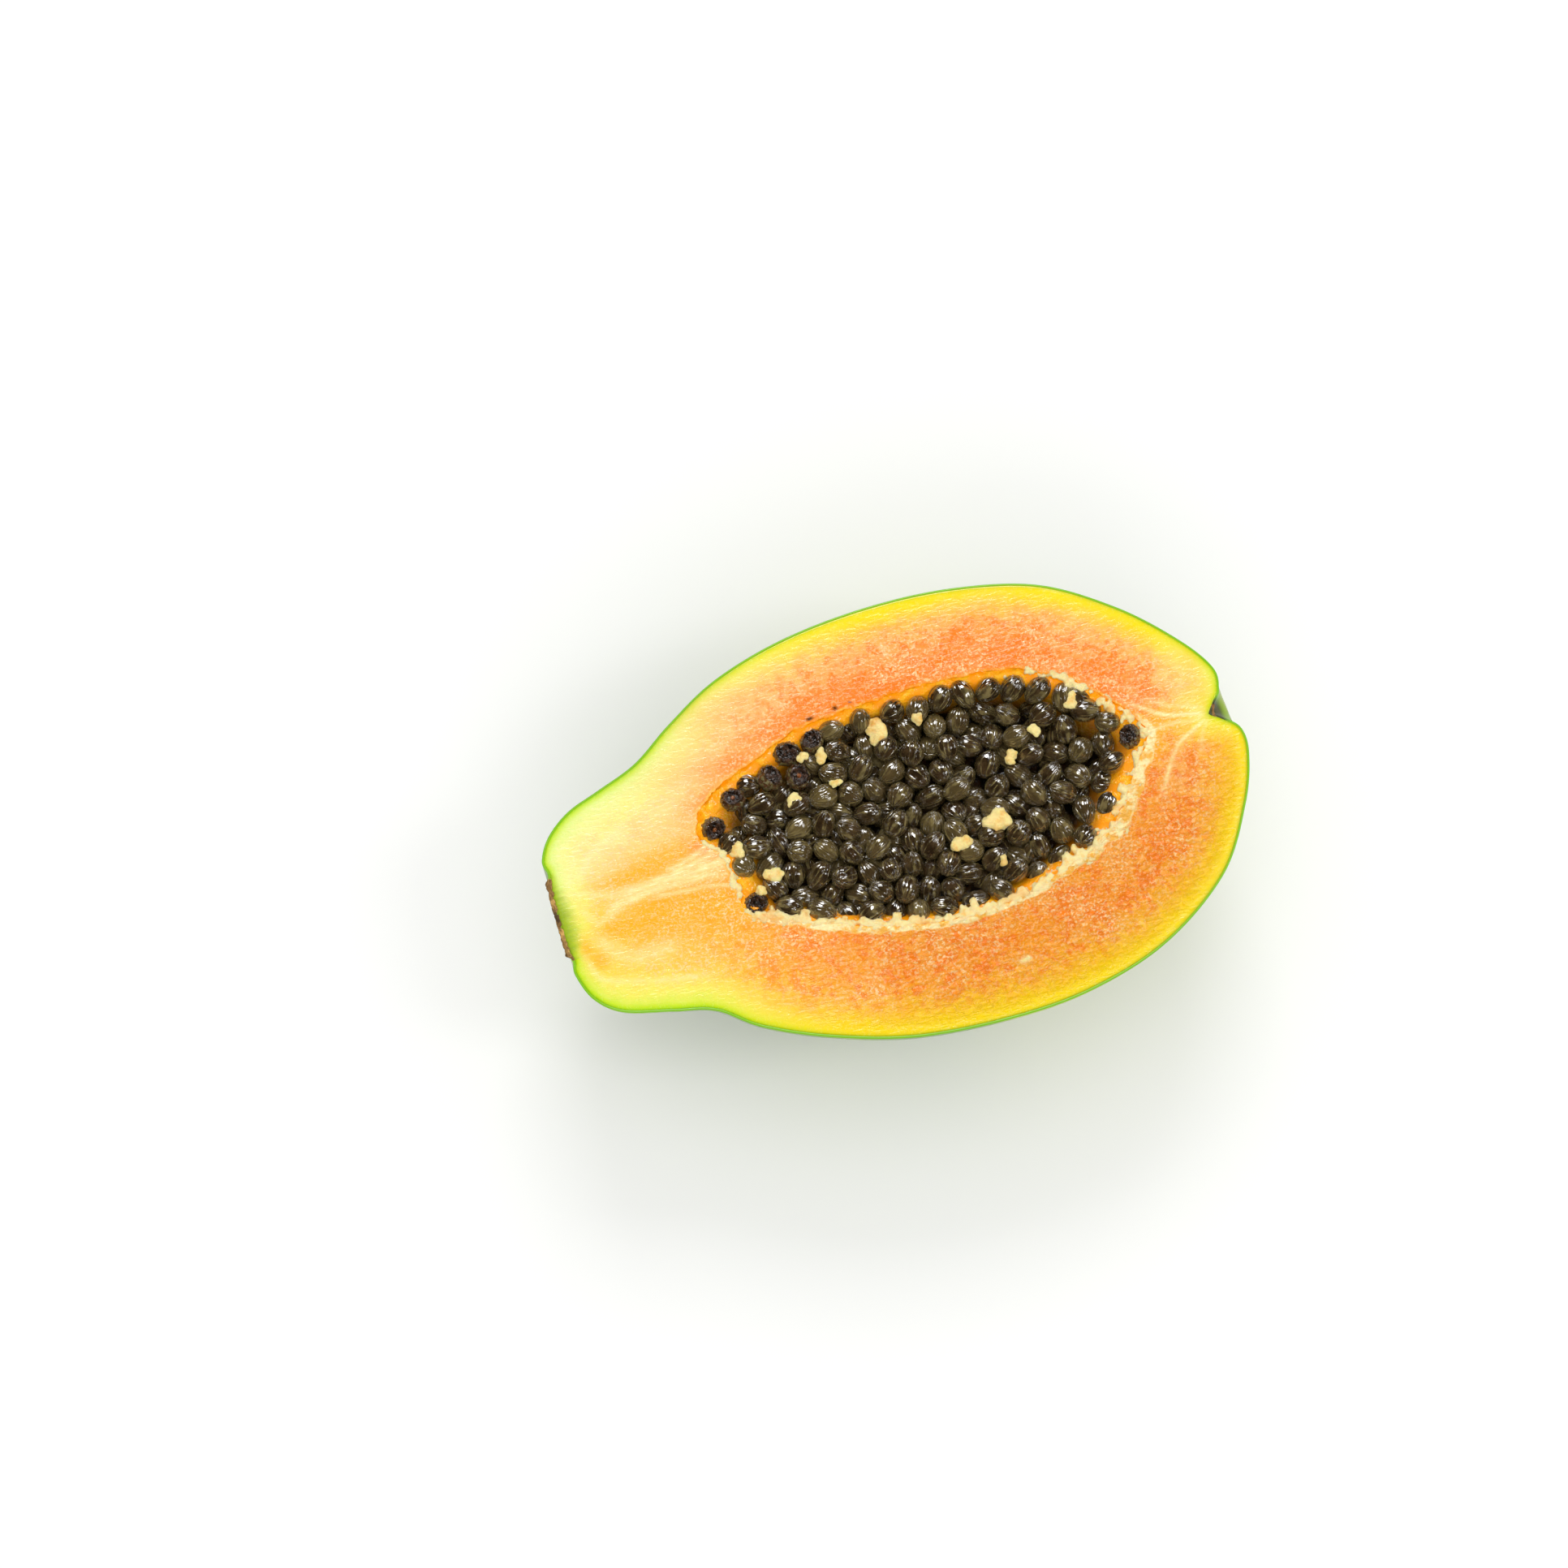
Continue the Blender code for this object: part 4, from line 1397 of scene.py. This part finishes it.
    def build_flesh(self) -> Piece:
        """The flesh: its hidden outer wall, the cut face and the cavity, closed in one body.

        Returns:
            The piece.
        """
        outside = FORM.skin_grid(self.stations, self.wall_segments)
        hidden = FORM.inset(outside, self.flesh_inset)
        wall = sheet_of("flesh_wall", hidden)
        face = sheet_of("papaya_flesh", self.face_points(FORM.outline(hidden)))
        flesh = joined((face, wall))
        closed_up(flesh)
        spots = places_of(flesh)
        skin_gap, cavity_gap = self.gaps(spots[:, :2], FORM.outline(outside))
        marks = self.marks(spots, skin_gap, cavity_gap)
        for name, values in marks.items():
            point_values(flesh, name, values)
        moved_to(flesh, self.relieved(spots, cavity_gap, marks))
        return flesh

    def build(self) -> None:
        """Builds and dresses the skin and the flesh."""
        finished(self.build_skin(), SkinFinish().material(), Node.FRUIT)
        finished(self.build_flesh(), FleshFinish().material(), Node.FRUIT)


@dataclass
class Pith:
    """The torn lip of pith round the cavity, and its shreds among the seeds."""

    shred_count: int = 34
    shred_first: float = -172.0
    shred_last: float = 48.0
    shred_reach: float = 0.7
    shred_lumps: int = 12
    tooth_chance: float = 0.6
    tooth_lumps: int = 18
    lip_places: int = 3000
    lip_lumps: int = 2000
    near_side: Sector = Sector(-176, -160, -10, 10)
    blossom_side: Sector = Sector(-44, -24, 0, 12)
    far_right: Sector = Sector(12, 22, 32, 42)
    voxel: float = 0.27
    crumble: float = 0.55
    press: float = 0.75

    def shred_places(self) -> list[tuple]:
        """Where the shreds are, as in the solid.

        Returns:
            Centre, turn and grade of each.
        """
        edge, inward = FORM.torn_rim(2 * FORM.rough_count)
        angles = FORM.bearing(edge)
        inside = np.flatnonzero((angles > self.shred_first) & (angles < self.shred_last))
        draw = np.random.default_rng(11)
        inside = np.roll(inside, -np.argmin(angles[inside]))
        places = []
        for number in range(self.shred_count):
            share = (number + 0.5 + draw.uniform(-0.3, 0.3)) / self.shred_count
            k = inside[int(share * len(inside))]
            x, y = edge[k] + inward[k] * self.shred_reach * draw.uniform(0.2, 1.6)
            turn = math.atan2(inward[k][1], inward[k][0]) + draw.uniform(-0.6, 0.6)
            places.append(((x, y, draw.uniform(-2.0, -0.7)), turn, draw.uniform(0.7, 1.15)))
        return places

    def lip(self, draw: np.random.Generator) -> list[Matrix]:
        """Small lumps along the cavity's edge: broad on the near side and at the blossom end.

        Args:
            draw: the random draw.

        Returns:
            The matrix of each lump.
        """
        edge, inward = FORM.torn_rim(self.lip_places)
        angles = FORM.bearing(edge)
        near_side, blossom = self.near_side.share(angles), self.blossom_side.share(angles)
        far_right, stem_end = self.far_right.share(angles), eased(np.abs(angles), 170, 175)
        clumps = rough_at(lifted(edge, 3.0), 2.6)
        lumps = []
        for _ in range(self.lip_lumps):
            k = draw.integers(len(edge))
            wide = max(near_side[k], blossom[k], 0.3 * far_right[k], 0.8 * stem_end[k])
            if draw.uniform() > wide:
                continue
            into = -0.5 - 0.7 * wide * (1 + clumps[k]) * (1 - 0.5 * blossom[k])
            furthest = 0.3 + 0.8 * near_side[k] + 2.6 * blossom[k] + 0.4 * far_right[k]
            out = draw.uniform(into, furthest)
            down = draw.uniform(0, 1) ** 2 * (1.2 + 3.5 * wide)
            spot = edge[k] - inward[k] * (out if down < 0.7 else min(out, 0.1))
            size = draw.uniform(0.4, 1.05) * (0.7 + 0.4 * wide)
            turn = turned(draw.uniform(0, ABOUT_A_TURN))
            lumps.append(placed((*spot, -0.3 - down), turn, (size * 1.3, size, size * 0.85)))
        return lumps

    def shreds(self, draw: np.random.Generator) -> list[Matrix]:
        """Each shred as a cluster of lumps, some with a torn tooth in among the seeds.

        Args:
            draw: the random draw.

        Returns:
            The matrix of each lump.
        """
        lumps = []
        for (x, y, z), turn, grade in self.shred_places():
            middle = np.array([x, y])
            inward = np.array([math.cos(turn), math.sin(turn)])
            aside = np.array([-inward[1], inward[0]])
            for _ in range(self.shred_lumps):
                along, across = draw.uniform(-1.4, 1.0) * grade, draw.uniform(-1.5, 1.5) * grade
                spot = middle + inward * along + aside * across
                size = draw.uniform(0.3, 0.7) * grade
                around = turned(turn + draw.uniform(-0.6, 0.6))
                height = z + draw.uniform(-1.2, 0.9) * grade
                lumps.append(placed((*spot, height), around, (size, size * 1.2, size)))
            if draw.uniform() < self.tooth_chance:
                reach, wide = draw.uniform(1.6, 3.4) * grade, draw.uniform(0.7, 1.4) * grade
                for _ in range(self.tooth_lumps):
                    step = draw.uniform(0, 1)
                    spot = middle + inward * reach * step
                    spot = spot + aside * draw.uniform(-wide, wide) * (1 - 0.4 * step)
                    size = draw.uniform(0.4, 0.75)
                    height = -0.5 - 0.7 * step + draw.uniform(-0.4, 0.4)
                    around = turned(draw.uniform(0, ABOUT_A_TURN))
                    lumps.append(placed((*spot, height), around, (size * 1.3, size, size * 0.8)))
        return lumps

    def build(self) -> None:
        """Builds and dresses the pith, whose top is pressed down to the cut face."""
        draw = np.random.default_rng(5)
        lumps = self.lip(draw) + self.shreds(draw)
        piece = fused("pith_lip", lumps, self.voxel, self.crumble)
        spots = places_of(piece)
        spots[:, 2] -= self.press * spots[:, 2].clip(0)
        moved_to(piece, spots)
        finished(piece, PithFinish().material(), Node.FRUIT)


@dataclass(frozen=True)
class Layer:
    """One settled layer of seeds: centres, long axes, lengths and widths."""

    centre: Places
    axis: Places
    length: Places
    width: Places


@dataclass
class SeedBed:
    """The seeds, the knife-opened ones among them, crumbs of pith and the dark pulp, partly painted shade.
    """

    count: int = 168
    lower_count: int = 120
    lower_by: float = 4.3
    lengths: tuple[float, float] = (6.4, 7.6)
    widths: tuple[float, float] = (5.2, 5.9)
    swell: float = 1.03
    steepest: float = 0.75
    level_rim: float = -2.6
    level_middle: float = -4.4
    stray: float = 1.1
    sunk_share: float = 0.4
    sunk_by: tuple[float, float] = (1.6, 3.4)
    highest: float = 0.6
    clearance: float = 0.35
    fold: float = 0.07
    settling: int = 220
    lower_settling: int = 90
    push_share: float = 0.22
    level_share: float = 0.25
    fixed: tuple = (
        (40.8, 9.7), (47.4, 14.9), (44.9, -10.4), (141.4, 0.8), (57.1, 17.2), (62.8, 21.6), (63.6, 15.6),
        (69.4, 22.6), (74.6, 18.6), (81.8, 23.8), (89.6, 23.9), (95.6, 22.6), (101.4, 23.4), (107.0, 22.6),
        (112.8, 21.9), (118.4, 20.4), (124.0, 18.2), (129.4, 14.6), (133.4, 10.2), (137.4, 5.8),
        (135.2, -3.6),
    )
    torn: tuple = (0, 1, 2, 3, 4, 5, 6, 7)
    cored: tuple = (0, 1, 6)
    crumbs: tuple = (
        (51.0, -5.2, 1.5), (70.4, 18.5, 1.2), (84.5, 20.2, 2.0), (95.3, -11.4, 1.6), (104.5, -9.2, 2.0),
        (113.1, 4.8, 1.2), (94.7, 20.3, 1.2), (60.9, 10.3, 1.2), (66.0, 19.4, 1.0), (71.5, 11.0, 0.9),
        (103.4, -18.4, 0.9), (120.0, 9.0, 1.0), (131.0, 13.0, 1.6), (44.6, 3.0, 1.4), (47.0, -8.0, 1.0),
    )
    crumb_colours: tuple = ("ffdf94", "f0b040", "d8941c")
    pulp_below: float = 4.2
    pulp_rise: float = 6.3
    pulp_columns: int = 480
    pulp_rings: int = 14
    pulp_wall_rings: int = 10

    def bed_level(self, share: Places) -> Places:
        """Height of the seeds' centres, from the cavity's middle (share 0) to its edge (1)."""
        return self.level_middle + (self.level_rim - self.level_middle) * share**2

    def scattered(self, draw: np.random.Generator, count: int) -> list[Places]:
        """Random spots in the cavity, clear of its edge.

        Args:
            draw: the random draw.
            count: how many.

        Returns:
            The spots.
        """
        rim, inward = FORM.rim_edge(FORM.rough_count)
        low, high = rim.min(axis=0), rim.max(axis=0)
        spots = []
        while len(spots) < count:
            spot = draw.uniform(low, high)
            nearest = np.argmin(((rim - spot) ** 2).sum(axis=1))
            if (spot - rim[nearest]) @ inward[nearest] > self.widths[0] / 2:
                spots.append(spot)
        return spots

    def settle(self, count: int, fixed: Sequence, lower: float, seed: int, steps: int) -> Layer:
        """Scatters seeds in the cavity and pushes touching ones apart.

        Each seed is taken as two balls on its long axis.

        Args:
            count: how many seeds.
            fixed: places of the first ones, which stay put.
            lower: how far below the top layer they lie, in millimetres.
            seed: the random draw's own seed.
            steps: how often they are pushed.

        Returns:
            The layer.
        """
        draw = np.random.default_rng(seed)
        rim, inward = FORM.rim_edge(FORM.rough_count)
        flat = np.array(list(fixed) + self.scattered(draw, count - len(fixed)))
        length = draw.uniform(*self.lengths, count)
        width = draw.uniform(*self.widths, count)
        heading = draw.uniform(0, 2 * math.pi, count)
        pitch = np.arcsin(draw.uniform(-self.steepest, self.steepest, count))
        axis = np.column_stack(
            [np.cos(heading) * np.cos(pitch), np.sin(heading) * np.cos(pitch), np.sin(pitch)]
        )
        stray = draw.uniform(-self.stray, self.stray, count)
        sunk = draw.uniform(0, 1, count) < self.sunk_share
        stray -= sunk * draw.uniform(*self.sunk_by, count)
        stray[: len(fixed)] = self.stray
        stray -= lower

        def level(spots: Places) -> Places:
            """How high the seeds lie at these spots."""
            return self.bed_level(FORM.reach(spots)) + stray

        centre = lifted(flat, level(flat))
        half_gap = axis * ((length - width) / 2)[:, None]
        radius, owner = np.tile(width / 2, 2), np.tile(np.arange(count), 2)
        for _ in range(steps):
            balls = np.vstack([centre + half_gap, centre - half_gap])
            apart = balls[:, None] - balls[None]
            distance = np.sqrt((apart**2).sum(axis=2)) + 1e-9
            overlap = np.clip(radius[:, None] + radius[None] - distance, 0, None)
            overlap[owner[:, None] == owner[None]] = 0
            push = (apart / distance[..., None] * overlap[..., None]).sum(axis=1) * self.push_share
            centre += push[:count] + push[count:]
            for end in (half_gap, -half_gap):
                spots = (centre + end)[:, :2]
                nearest = np.argmin(((spots[:, None] - rim[None]) ** 2).sum(axis=2), axis=1)
                wall = ((spots - rim[nearest]) * inward[nearest]).sum(axis=1)
                short = np.clip(width / 2 + self.clearance - wall, 0, None)
                centre[:, :2] += inward[nearest] * short[:, None]
            centre[:, 2] += (level(centre[:, :2]) - centre[:, 2]) * self.level_share
            over = np.abs(half_gap[:, 2]) + width / 2
            centre[:, 2] = np.minimum(centre[:, 2], self.highest - over)
            if fixed:
                centre[: len(fixed), :2] = fixed
        return Layer(centre, axis, length, width)

    def seed_templates(self, segments: int, rings: int, count: int) -> list[Piece]:
        """Seeds a unit across and along: eggs with lengthwise folds, each folded differently.

        Args:
            segments: faces round each.
            rings: faces along each.
            count: how many.

        Returns:
            The seeds.
        """
        add = bpy.ops.mesh.primitive_uv_sphere_add
        seeds = []
        for number in range(count):
            seed = primitive(add, "seed_form", segments=segments, ring_count=rings, radius=0.5)
            seed.data.uv_layers[0].name = "along"
            for vert in seed.data.vertices:
                height = vert.co.z * 2
                bearing = vert.co.xy.normalized() * 1.3
                fold = noise.fractal(Vector((*bearing, height * 0.5 + 7.0 * number)), 0.7, 2.0, 2)
                narrow = 1 - 0.1 * height - 0.05 * height * height + self.fold * fold
                vert.co = Vector((vert.co.x * narrow, vert.co.y * narrow, vert.co.z))
            seeds.append(seed)
        return seeds

    def seed_places(self, layer: Layer, chosen: Sequence[int]) -> list[Matrix]:
        """Places seeds of a layer, each turned about its own axis too.

        Args:
            layer: the layer.
            chosen: the numbers of its seeds.

        Returns:
            The matrix of each.
        """
        draw = np.random.default_rng(23)
        spins = draw.uniform(0, 2 * math.pi, len(layer.centre))
        flips = draw.integers(0, 2, len(layer.centre)) * 2 - 1
        places = []
        for k in chosen:
            turn = Vector(layer.axis[k] * flips[k]).to_track_quat("Z", "Y").to_matrix()
            wide = layer.width[k] * self.swell
            size = (wide, wide, layer.length[k])
            places.append(placed(layer.centre[k], turn @ turned(spins[k]), size))
        return places

    def torn_template(self) -> Piece:
        """A seed a unit across that the knife opened: a ragged crust round a hollow and a core.

        Returns:
            The seed.
        """
        add = bpy.ops.mesh.primitive_ico_sphere_add
        template = primitive(add, "torn_form", subdivisions=5, radius=0.5)
        core, coat = [], []
        for vert in template.data.vertices:
            spot = vert.co * 2
            wander = noise.fractal(spot * 1.6, 0.8, 2.0, 2)
            away = math.hypot(spot.x, spot.y) * (1 + 0.3 * wander)
            crust = noise.fractal(spot * 3.4, 0.75, 2.0, 3)
            if spot.z > 0 and away < 0.72:
                hollow = 0.7 - 0.22 * (away < 0.5) + 0.1 * (away < 0.2)
                vert.co.z = (hollow + 0.12 * crust) / 2
            core.append(1.0 if spot.z > 0 and away < 0.18 else 0.0)
            coat.append(1.0 if spot.z < 0.2 or away > 0.8 else 0.0)
            vert.co *= 1 + 0.14 * crust
        point_values(template, "core", core)
        point_values(template, "coat", coat)
        return template

    def build_torn(self, layer: Layer) -> Piece:
        """The seeds that the knife opened, some of which show their core.

        Args:
            layer: the top layer.

        Returns:
            The piece.
        """
        draw = np.random.default_rng(31)
        places = []
        for k in self.torn:
            tilt = turned(draw.uniform(-0.6, 0.6), "X")
            turn = turned(draw.uniform(0, ABOUT_A_TURN)) @ tilt
            size = layer.width[k] * np.array([1.12, 0.98, 1.05])
            places.append(placed(layer.centre[k] + (0, 0, 0.4), turn, size))
        cored = [1.0 if number in self.cored else 0.0 for number in self.torn]
        return copied("seeds_torn", [self.torn_template()], places, {"open": cored})

    def build_crumbs(self, layer: Layer) -> Piece:
        """Crumbs of pith that lie on the seeds.

        Args:
            layer: the top layer.

        Returns:
            The piece.
        """
        draw = np.random.default_rng(17)
        lumps = []
        for x, y, grade in self.crumbs:
            away = np.hypot(*(layer.centre[:, :2] - (x, y)).T)
            top = min(layer.centre[away < 5.0, 2].max() + 3.2, 0.5)
            heading = draw.uniform(0, math.pi)
            for _ in range(int(12 * grade)):
                along, across = draw.uniform(-1.1, 1.1) * grade, draw.uniform(-0.65, 0.65) * grade
                spot = (
                    x + along * math.cos(heading) - across * math.sin(heading),
                    y + along * math.sin(heading) + across * math.cos(heading),
                    top - draw.uniform(0.45, 1.3) * grade,
                )
                size = draw.uniform(0.6, 0.85) * grade
                turn = turned(draw.uniform(0, ABOUT_A_TURN))
                lumps.append(placed(spot, turn, (size * 1.3, size, size * 0.8)))
        return fused("pith_crumbs", lumps, 0.25, 0.45)

    def build_pulp(self) -> Piece:
        """The pulp that fills the cavity under the seeds, and rises to gel with a painted glow at its edge.

        Returns:
            The piece.
        """
        rim, inward = FORM.torn_rim(self.pulp_columns)
        middle = np.array(FORM.middle)
        out = rim - inward * 0.1 - middle
        rows = []
        for share in np.linspace(0, 1, self.pulp_rings):
            risen = self.pulp_rise * float(eased(share, 0.72, 1.0))
            level = self.bed_level(share) - self.pulp_below + risen
            rows.append(lifted(middle + out * share, level))
        for angle in np.radians(np.linspace(22, 90, self.pulp_wall_rings)):
            depth = (FORM.cavity_depth - 0.6) * math.sin(angle)
            ring = middle + out * max(math.cos(angle), 0) ** FORM.bowl_fullness
            rows.append(lifted(ring, -depth))
        points = np.array(rows)
        points = np.concatenate([points, points[:, :1]], axis=1)
        top = points[: self.pulp_rings]
        flat = top.reshape(-1, 3)
        flat[:, 2] += 0.7 * rough_at(flat, 2.6) * eased(FORM.reach(flat[:, :2]), 1.0, 0.93)
        flat[:, 2] = np.minimum(flat[:, 2], -0.3)
        top[:] = flat.reshape(top.shape)
        top[:, -1] = top[:, 0]
        points[0] = points[0].mean(axis=0)
        pulp = sheet_of("pulp", points)
        closed_up(pulp)
        # The gel's mask, which also sets where its painted glow shows.
        point_values(pulp, "edge", eased(FORM.reach(places_of(pulp)[:, :2]), 0.8, 0.97))
        return pulp

    def build(self) -> None:
        """Builds and dresses everything in the cavity."""
        top = self.settle(self.count, self.fixed, 0.0, 11, self.settling)
        under = self.settle(self.lower_count, (), self.lower_by, 12, self.lower_settling)
        whole = [k for k in range(self.count) if k not in self.torn]
        draw = np.random.default_rng(41)
        finish = SeedFinish().material()
        tones = {"tone": draw.beta(1.6, 2.2, self.count)[whole]}
        forms = self.seed_templates(16, 11, 5)
        seeds = copied("seeds_top", forms, self.seed_places(top, whole), tones)
        finished(seeds, finish, Node.SEEDS)
        tones = {"tone": draw.beta(1.4, 3.0, self.lower_count)}
        forms = self.seed_templates(12, 8, 3)
        places = self.seed_places(under, range(self.lower_count))
        finished(copied("seeds_below", forms, places, tones), finish, Node.SEEDS)
        finished(self.build_torn(top), TornSeedFinish().material(), Node.SEEDS)
        crumb_finish = PithFinish("pith_crumb", *self.crumb_colours).material()
        finished(self.build_crumbs(top), crumb_finish, Node.SEEDS)
        finished(self.build_pulp(), PulpFinish().material(), Node.SEEDS)


@dataclass
class Scars:
    """The corky crust where the stem was, and the dry remains in the blossom pit."""

    radius: float = 9.9
    rows: int = 40
    columns: int = 90
    stations: int = 4
    curl_radius: float = 8.8
    curl_width: float = 0.9
    thinnest: float = 0.12
    flake_count: int = 64
    flake_line: tuple = (
        (-11.0, 0.1), (-9.4, -0.3), (-5.0, -0.7), (0.0, -0.6), (5.0, -0.4), (9.2, 0.3),
    )
    remains: int = 46
    pit_bottom: float = 160.9

    def build_stem_scar(self) -> Piece:
        """A half disc of cracked cork with a curled rim, closed at the back and at the cut.

        Returns:
            The piece.
        """
        share = np.linspace(0, 1, self.rows)[:, None]
        angle = np.linspace(0, math.pi, self.columns)
        across, down = np.cos(angle), np.sin(angle)
        away = share * self.radius
        sides = np.array(FORM.meridians[: self.stations]).transpose(1, 2, 0)
        far, near, back = (np.interp(away, np.abs(wide), x) for x, wide in sides)
        floor = np.where(across > 0, far, near) * across**2 + back * down**2
        flat = np.stack([floor, away * across, -away * down], axis=2)
        curl = np.exp(-(((away - self.curl_radius) / self.curl_width) ** 2))
        cracks = np.abs(rough_at(flat * (1, 0.6, 0.6), 3.2)) < 0.06
        rise = 0.35 + 0.3 * rough_at(flat, 1.5, 3) + 0.4 * curl - 0.2 * cracks
        rise = rise.clip(self.thinnest) * eased(share, 1.0, 0.9)
        edge = lifted(np.zeros((self.columns, 1)), across * 4)
        wobble = 1 + 0.035 * rough_at(lifted(edge, down * 4), 0.8)
        y, z = away * across * wobble, -away * down * wobble
        front = np.stack([floor - rise, y, z + 0.12], axis=2)
        back = np.stack([floor + 0.3, y * 0.97, z * 0.97 + 0.12], axis=2)
        back[-1] = front[-1]
        points = np.concatenate([front, back[:, ::-1], front[:, :1]], axis=1)
        scar = sheet_of("stem_scar", points)
        closed_up(scar)
        return scar

    def build_flakes(self) -> Piece:
        """Curled flakes of cork along the scar's edge on the cut face.

        Returns:
            The piece.
        """
        draw = np.random.default_rng(19)
        lumps = []
        for y in np.linspace(-10.2, 9.4, self.flake_count):
            wander = 0.5 * noise.noise(Vector((y * 0.9, 4.0, 0.0))) + draw.uniform(-0.15, 0.15)
            edge = np.interp(y, *zip(*self.flake_line))
            size = draw.uniform(0.2, 0.42)
            turn = turned(draw.uniform(-0.7, 0.7))
            spot = (edge + 0.55 + wander, y, draw.uniform(-0.25, 0.2))
            lumps.append(placed(spot, turn, (size, size * 1.9, size * 0.8)))
        return fused("scar_flakes", lumps, 0.15, 0.35)

    def build_blossom_scar(self) -> Piece:
        """A little dry tissue at the bottom of the blossom pit.

        Returns:
            The piece.
        """
        draw = np.random.default_rng(3)
        lumps = []
        for _ in range(self.remains):
            angle = draw.uniform(0, math.pi)
            away = draw.uniform(0.6, 1.9)
            x = self.pit_bottom + 0.55 * away + draw.uniform(0, 0.35)
            size = draw.uniform(0.2, 0.42)
            turn = turned(draw.uniform(0, ABOUT_A_TURN))
            spot = (x, away * math.cos(angle), -away * math.sin(angle))
            lumps.append(placed(spot, turn, (size * 1.4, size, size)))
        return fused("blossom_scar", lumps, 0.2, 0.2)

    def build(self) -> None:
        """Builds and dresses the scars, all of the same dry cork."""
        finish = CorkFinish().material()
        for piece in (self.build_stem_scar(), self.build_flakes(), self.build_blossom_scar()):
            finished(piece, finish, Node.FRUIT)


def direction(bearing: float, elevation: float) -> Vector:
    """A unit vector.

    Args:
        bearing: its degrees from +Y, against the clock.
        elevation: its degrees above the floor.

    Returns:
        The vector.
    """
    turn, rise = math.radians(bearing), math.radians(elevation)
    return Vector((-math.sin(turn) * math.cos(rise), math.cos(turn) * math.cos(rise), math.sin(rise)))


@dataclass(frozen=True)
class Lamp:
    """A soft box, aimed at the fruit.

    Its bearing is from the camera's far side. glints says whether it shows in reflections,
    and shades whether it lights what isn't glossy.
    """

    name: str
    bearing: float
    elevation: float
    distance: float
    size: tuple[float, float]
    watts: float
    glints: bool = True
    shades: bool = True

    def build(self, azimuth: float) -> None:
        """Sets the lamp up.

        Args:
            azimuth: the camera's own, in degrees.
        """
        toward = direction(azimuth + self.bearing, self.elevation)
        bpy.ops.object.light_add(type="AREA", location=toward * self.distance)
        lamp = bpy.context.active_object
        lamp.name = self.name
        lamp.rotation_euler = toward.to_track_quat("Z", "Y").to_euler()
        lamp.data.shape = "RECTANGLE"
        lamp.data.size, lamp.data.size_y = self.size
        lamp.data.energy = self.watts
        lamp.visible_glossy = self.glints
        lamp.visible_diffuse = self.shades


@dataclass
class Studio:
    """The floor, the lights and the camera."""

    azimuth: float = -17.8025
    elevation: float = 78.0
    distance: float = 0.90
    lens: float = 88.0
    aim: tuple = (59.88, 14.49, 0.0)
    sky: float = 0.74
    lamps: tuple[Lamp, ...] = (
        Lamp("key_light", 0.0, 43.0, 2.4, (1.0, 0.75), 14.0),
        Lamp("glint_light", 8.0, 45.0, 2.4, (0.9, 0.7), 18.0, shades=False),
        Lamp("side_light", -95.0, 50.0, 2.4, (0.5, 0.7), 6.0),
        Lamp("fill_light", 180.0, 38.0, 2.4, (2.0, 1.4), 10.0, glints=False),
        Lamp("top_light", 0.0, 86.0, 2.6, (2.2, 2.2), 10.0, glints=False),
    )
    floor_size: float = 6.0
    floor_colour: tuple = (0.9, 0.9, 0.89, 1.0)

    def build_camera(self) -> None:
        """The camera, looking down on the cut face."""
        back = direction(self.azimuth + 180, self.elevation)
        right = direction(self.azimuth - 90, 0.0)
        turn = Matrix((right, back.cross(right), back)).transposed().to_4x4()
        target = Vector(FORM.to_world(np.array(self.aim)))
        bpy.ops.object.camera_add()
        camera = bpy.context.active_object
        camera.matrix_world = Matrix.Translation(target + back * self.distance) @ turn
        camera.data.lens = self.lens
        camera.data.sensor_width = 36.0
        camera.data.clip_start = 0.01
        bpy.context.scene.camera = camera

    def build_lights(self) -> None:
        """The soft boxes, and an even pale sky that doesn't show in reflections."""
        for lamp in self.lamps:
            lamp.build(self.azimuth)
        world = bpy.data.worlds.new("pale_sky")
        world.use_nodes = True
        sky = world.node_tree.nodes["Background"]
        sky.inputs["Color"].default_value = (1.0, 1.0, 1.0, 1.0)
        sky.inputs["Strength"].default_value = self.sky
        world.cycles_visibility.glossy = False
        bpy.context.scene.world = world

    def build_floor(self) -> None:
        """The plain pale floor."""
        floor = primitive(bpy.ops.mesh.primitive_plane_add, "floor", size=self.floor_size)
        pale = {"Base_Color": self.floor_colour, "Roughness": 0.6, "Specular_IOR_Level": 0.2}
        floor.data.materials.append(Surface("floor_pale").dress(**pale))

    def build(self) -> None:
        """Sets up the studio."""
        self.build_camera()
        self.build_lights()
        self.build_floor()
        bpy.context.scene.view_settings.view_transform = "Standard"


def main() -> None:
    """Builds the papaya half and the studio round it, and notes the sizes."""
    logging.basicConfig(level=logging.INFO, format="%(name)s: %(message)s")
    for assembly in (FruitHalf(), Pith(), SeedBed(), Scars(), Studio()):
        assembly.build()


if __name__ == "__main__":
    main()
